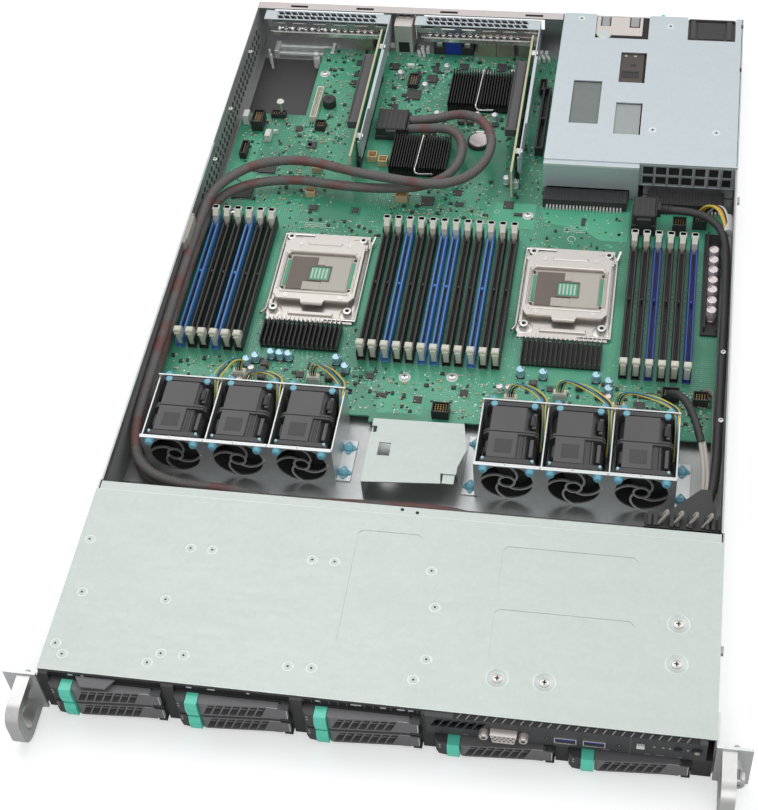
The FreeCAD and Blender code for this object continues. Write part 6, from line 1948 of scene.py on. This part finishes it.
# Square and oblong chips with bright legs, printed outlines and rings, screw pads and bare holes.
def makeBoardSurface():
    top = scatter["top"]
    bodies, legs, frames = [], [], []
    for x, y, wide, deep in scatter["packages"]:
        a, b = wide / 2, deep / 2
        bodies.append((x - a + 0.5, x + a - 0.5, y - b + 0.5, y + b - 0.5, top, top + 1.3))
        legs += [
            (p, p + 0.4, y - b - 0.3, y + b + 0.3, top, top + 0.3)
            for p in np.arange(x - a + 0.9, x + a - 1, 0.95)
        ]
        frames += [
            (x - a - 0.9, x + a + 0.9, y + s * (b + 0.9) - 0.14, y + s * (b + 0.9) + 0.14, top, top + 0.04)
            for s in (-1, 1)
        ]
        frames += [
            (x + s * (a + 0.9) - 0.14, x + s * (a + 0.9) + 0.14, y - b - 0.9, y + b + 0.9, top, top + 0.04)
            for s in (-1, 1)
        ]
    addPiece("morePackages", [(bodies, "chip", 0.2), (legs, "bright"), (frames, "silk")])
    for x, y, wide, deep, count in (
        (96, 470, 26, 0.5, 3), (20, 474, 22, 0.5, 2), (-176, 512, 18, 0.5, 2), (-120, 458, 24, 0.5, 3),
        (40, 330, 12, 0.5, 3)
    ):
        frames += [
            (x - wide / 2, x + wide / 2 - 3 * n, y + 2.2 * n, y + 2.2 * n + deep, top, top + 0.04)
            for n in range(count)
        ]
    pads = turned(scatter["pads"], [(4.6, top), (4.6, top + 0.15), (3.2, top + 0.2)], 24)
    heads, crosses = screwHeads(scatter["pads"], 3, top, top + 2)
    rings = together([hoop([(x, y, top + 0.02)], r, 0.3, 24, 4, 0.2) for x, y, r in scatter["rings"]])
    holes = turned(scatter["holes"], [(1.5, top), (1.5, top + 0.05)], 12)
    fields = [slab([(62, 497), (135, 497), (135, 462), (113, 462), (97, 474), (66, 479)], top, top + 0.05),
              slab([(-208, 560), (-190, 572), (-190, 500), (-208, 492)], top, top + 0.05),
              slab([(24, 500), (58, 500), (58, 470), (24, 470)], top, top + 0.05),
              slab([(-40, 266), (-5, 266), (-5, 284), (-40, 284)], top, top + 0.05)]
    addPiece(
        "boardPrint",
        [(together(fields), "boardPale"), (rings, "silk"), (frames, "silk"), (holes, "deepBlack")],
    )
    addPiece(
        "boardScrews", [(pads, "white"), (heads, "canTop"), (crosses, "chip")], smooth=True
    )
    tails = []
    for left, right, y, high, pitch in (
        (-141, -79, 346, 14, 3.4), (63, 124, 346, 13.5, 3.4), (-30, 20, 660, 12, 2.6),
        (-69, -24, 568.5, 12, 2.6)
    ):
        tails += [(x, x + 0.6, y, y + 6, top, high) for x in np.arange(left + 1.5, right - 1, pitch)]
    addPiece("finTails", [(tails, "guard")])
    dots = []
    for first, count in ((-204, 5), (-59.7, 11), (141, 5)):
        for n in range(count):
            x = first + 9.5 * (n + 0.5)
            dots += [
                (x - 0.5 + 0.5 * (k % 2), x + 0.3 + 0.5 * (k % 2), y, y + 1.5, top, top + 0.6) for k,
                y in enumerate(np.arange(356 + 3 * (n % 3), 412, 6.5))
            ]
    addPiece("slotDots", [(dots, "flexGrey")])


# Rows of pale pins, headers, posts and tags that stand about the rear of the board.
def makeStanding():
    top = scatter["top"]
    pins = []
    for left, right, front in ((63, 132, 498), (148, 210, 500)):
        pins += [
            (x, x + 1.3, front - 2.8, front + 0.1, top, top + 3.4)
            for x in np.arange(left + 3, right - 3, 2.75)
        ]
    addPiece("palePins", [(pins, "white", 0.1)])
    shells, sticks = zip(*[
        header(*place, top, high, pitch=2.2) for place,
        high in (
            ((-201, -191, 573, 590), 19), ((-204, -198, 536, 553), 15), ((-187, -174, 591, 597.5), 13),
            ((46, 52, 640, 655), 14), ((-72, -63, 640, 656), 13)
        )
    ])
    tags = [
        (-186.5, -181.5, 560, 569, top, 15), (-181, -177, 570.5, 572.5, top, 12),
        (-210, -205, 581, 590, top, 18), (150, 154, 455, 458, top, 12), (-110, -107, 655, 668, top, 14),
        (18, 30, 664, 667, top, 13), (-76, -70, 668, 671, top, 12)
    ]
    posts = turned(
        [(-177.5, 594)], [(1.4, top), (1.4, 24), (3.4, 24.2), (3.6, 25.4), (2.6, 26.2), (0.5, 26.2)], 10
    )
    feet = turned([(-205, 675, 0), (-202, 668, 0)], [(1.1, 1.4), (1.1, 16.5), (0.8, 17.2)], 12)
    tall = turned([(-161, 673)], [(3, 1.4), (3, 12), (2.2, 13.4), (2.2, 16.5), (1.2, 17)], 14)
    addPiece("standingHeaders", [(together(shells), "softBlack"), (together(sticks), "tan")])
    addPiece(
        "standingTags", [(tags, "white", 0.4), (posts, "bright"), (feet, "white"), (tall, "white")],
    )
    bars = [
        (-200, -150, 694, 697, 4, 6.5), (-200, -150, 686.5, 689.5, 3, 5), (-203.5, -199.5, 684, 699, 1, 9),
        (-150.5, -147, 684, 699, 1, 9)
    ]
    leaning = [
        slab([(x, 684.5), (x + 2.4, 684.5), (x + 0.4, 690), (x - 2, 690)], 8.1, 12)
        for x in (-107, -102.5, -98, -68.5, -64.5, 40.5, 45, 49.5)
    ]
    addPiece("floorBars", [(bars, "edgeBright", 0.5), (together(leaning), "white")])
    skin = [(-217.99, -217.86, 157, 711, 1.2, 41)]
    addPiece("leftWallSkin", [(skin, "wallGrey")])


wires = {
    "fans": (
        (-177.7, -150, 290), (-130.2, -140, 276), (-82.7, -92, 290), (66.7, 60, 284), (114.2, 96, 292),
        (161.7, 140, 284)
    ), "colours": (("wireYellow", -2.4), ("wireBlue", -0.8), ("wireBlack", 0.8), ("wireYellow", 2.4)),
    "radius": 0.65,
    "ribbon": (
        (202, 303.6, 14), (206.5, 303.6, 14), (208.9, 298, 14), (209.2, 215, 14), (205, 185, 14),
        (196, 166, 14)
    ),
}


def makeLeads():
    radius = wires["radius"]
    for number, (x, plugX, plugY) in enumerate(wires["fans"], 1):
        for k, (look, aside) in enumerate(wires["colours"]):
            lift = 1.2 * (k % 2)
            start = x + 21.6 + 0.35 * aside
            route = [
                (start, 232 + k, 18), (start + 0.6, 244, 30 + lift), (start - 0.5, 257, 39.5 + 0.7 * lift),
                (start - 2 + aside, 267, 38 - lift),
                ((start + plugX) / 2 + aside, (267 + plugY) / 2 + 4, 33 + 2 * lift),
                (plugX + aside + 3, plugY + 3.5 - k, 27 + lift), (plugX + aside, plugY, 21),
                (plugX + aside, plugY, 15.6),
            ]
            lead("fan%dLead%d" % (number, k + 1), route, radius, look)
    lead("flatRibbon", wires["ribbon"], 5, "ribbon", 16, 0.09, ("power_cables",))
    lead(
        "wrapLead", [(176, 297, 17), (182, 292, 25), (190, 280, 29), (197, 262, 28), (201, 246, 26)], 3,
        "softBlack", 12
    )
    for n in range(2):
        lead(
            "paleLead%d" % (n + 1),
            [
                (200.2 + 2.6 * n, 247, 26), (203 + 2.8 * n, 230, 25), (204 + 2.9 * n, 214, 24),
                (203.5 + 2.9 * n, 198, 24)
            ], 1.5, "socketPale", 10
        )
    for n, look in enumerate(("wireOrange", "wireYellow", "wireBlack")):
        lead(
            "wallLead%d" % (n + 1),
            [
                (214.5, 262, 16 + 2 * n), (215.2, 246, 22 + 2 * n), (215.2, 228, 21 + 2 * n),
                (213.5, 208, 14 + 2 * n)
            ], 0.8, look
        )
    for n, look in enumerate(("wireYellow", "wireOrange", "wireBlack", "white")):
        lead(
            "supplyLead%d" % (n + 1),
            [
                (190 + 2.6 * n, 496, 13), (194 + 2.6 * n, 495, 22), (202 + 2.2 * n, 489, 28),
                (208 + 1.5 * n, 479, 29), (211.4 + 0.9 * n, 466, 27)
            ], 1, look
        )
    loops = []
    for n in range(4):
        x = 174.5 + 10 * n
        arch = [
            (
                x + 7.5 * math.sin(t) * 0.6 + 3 * t / 3.1, 164.5 + 9 * math.sin(t / 2 + 0.2),
                33 + 6.2 * math.sin(t)
            )
            for t in np.linspace(0, 3.1, 9)
        ]
        loops.append(tube(smoothPath(arch, 3), 1.9, 8, 0.45))
    wrap = slab([(202.5, 200), (209, 200), (214, 172), (172, 170)], 24.5, 31.5)
    tape = tube([(213.2, 480, 24.5), (213.5, 474, 24.5), (213.7, 462, 24.5)], 4.1, 18)
    addPiece(
        "guideLoops", [(together(loops), "socketPale"), (wrap, "softBlack"), (tape, "white")],
    )


makeScatter()
makeBoardSurface()
makeStanding()
makeLeads()
print("board surface and leads made")


looks = {
    "chassis": ("chassis_base",), "cover": ("front_cover", "bridge_cover"), "cage": ("supply_cage",),
    "plate": ("rack_ears", "supply_module", "supply_blank"), "brushed": ("rack_handles",),
    "board": ("motherboard", "backplane"), "softBlack": ("bay_frame", "reset_button", "power_button"),
    "carrier": tuple("drive_tray_%d" % n for n in range(1, 9)) + ("front_panel",),
    "lever": tuple("tray_lever_%d" % n for n in range(1, 9)) + ("asset_tag",),
    "ivory": ("memory_latches_front", "memory_latches_rear"), "mint": ("supply_release",),
    "white": ("id_button",), "nickel": ("socket_frames", "load_plate_1", "load_plate_2"),
    "bright": ("socket_lever_1a", "socket_lever_1b", "socket_lever_2a", "socket_lever_2b"),
}
for look, nodes in looks.items():
    dress(look, *[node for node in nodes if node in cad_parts])
for node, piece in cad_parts.items():
    if not piece.hide_render and piece.data.materials and piece.data.materials[0].name not in finish:
        dress("chip", node)

print("finished")
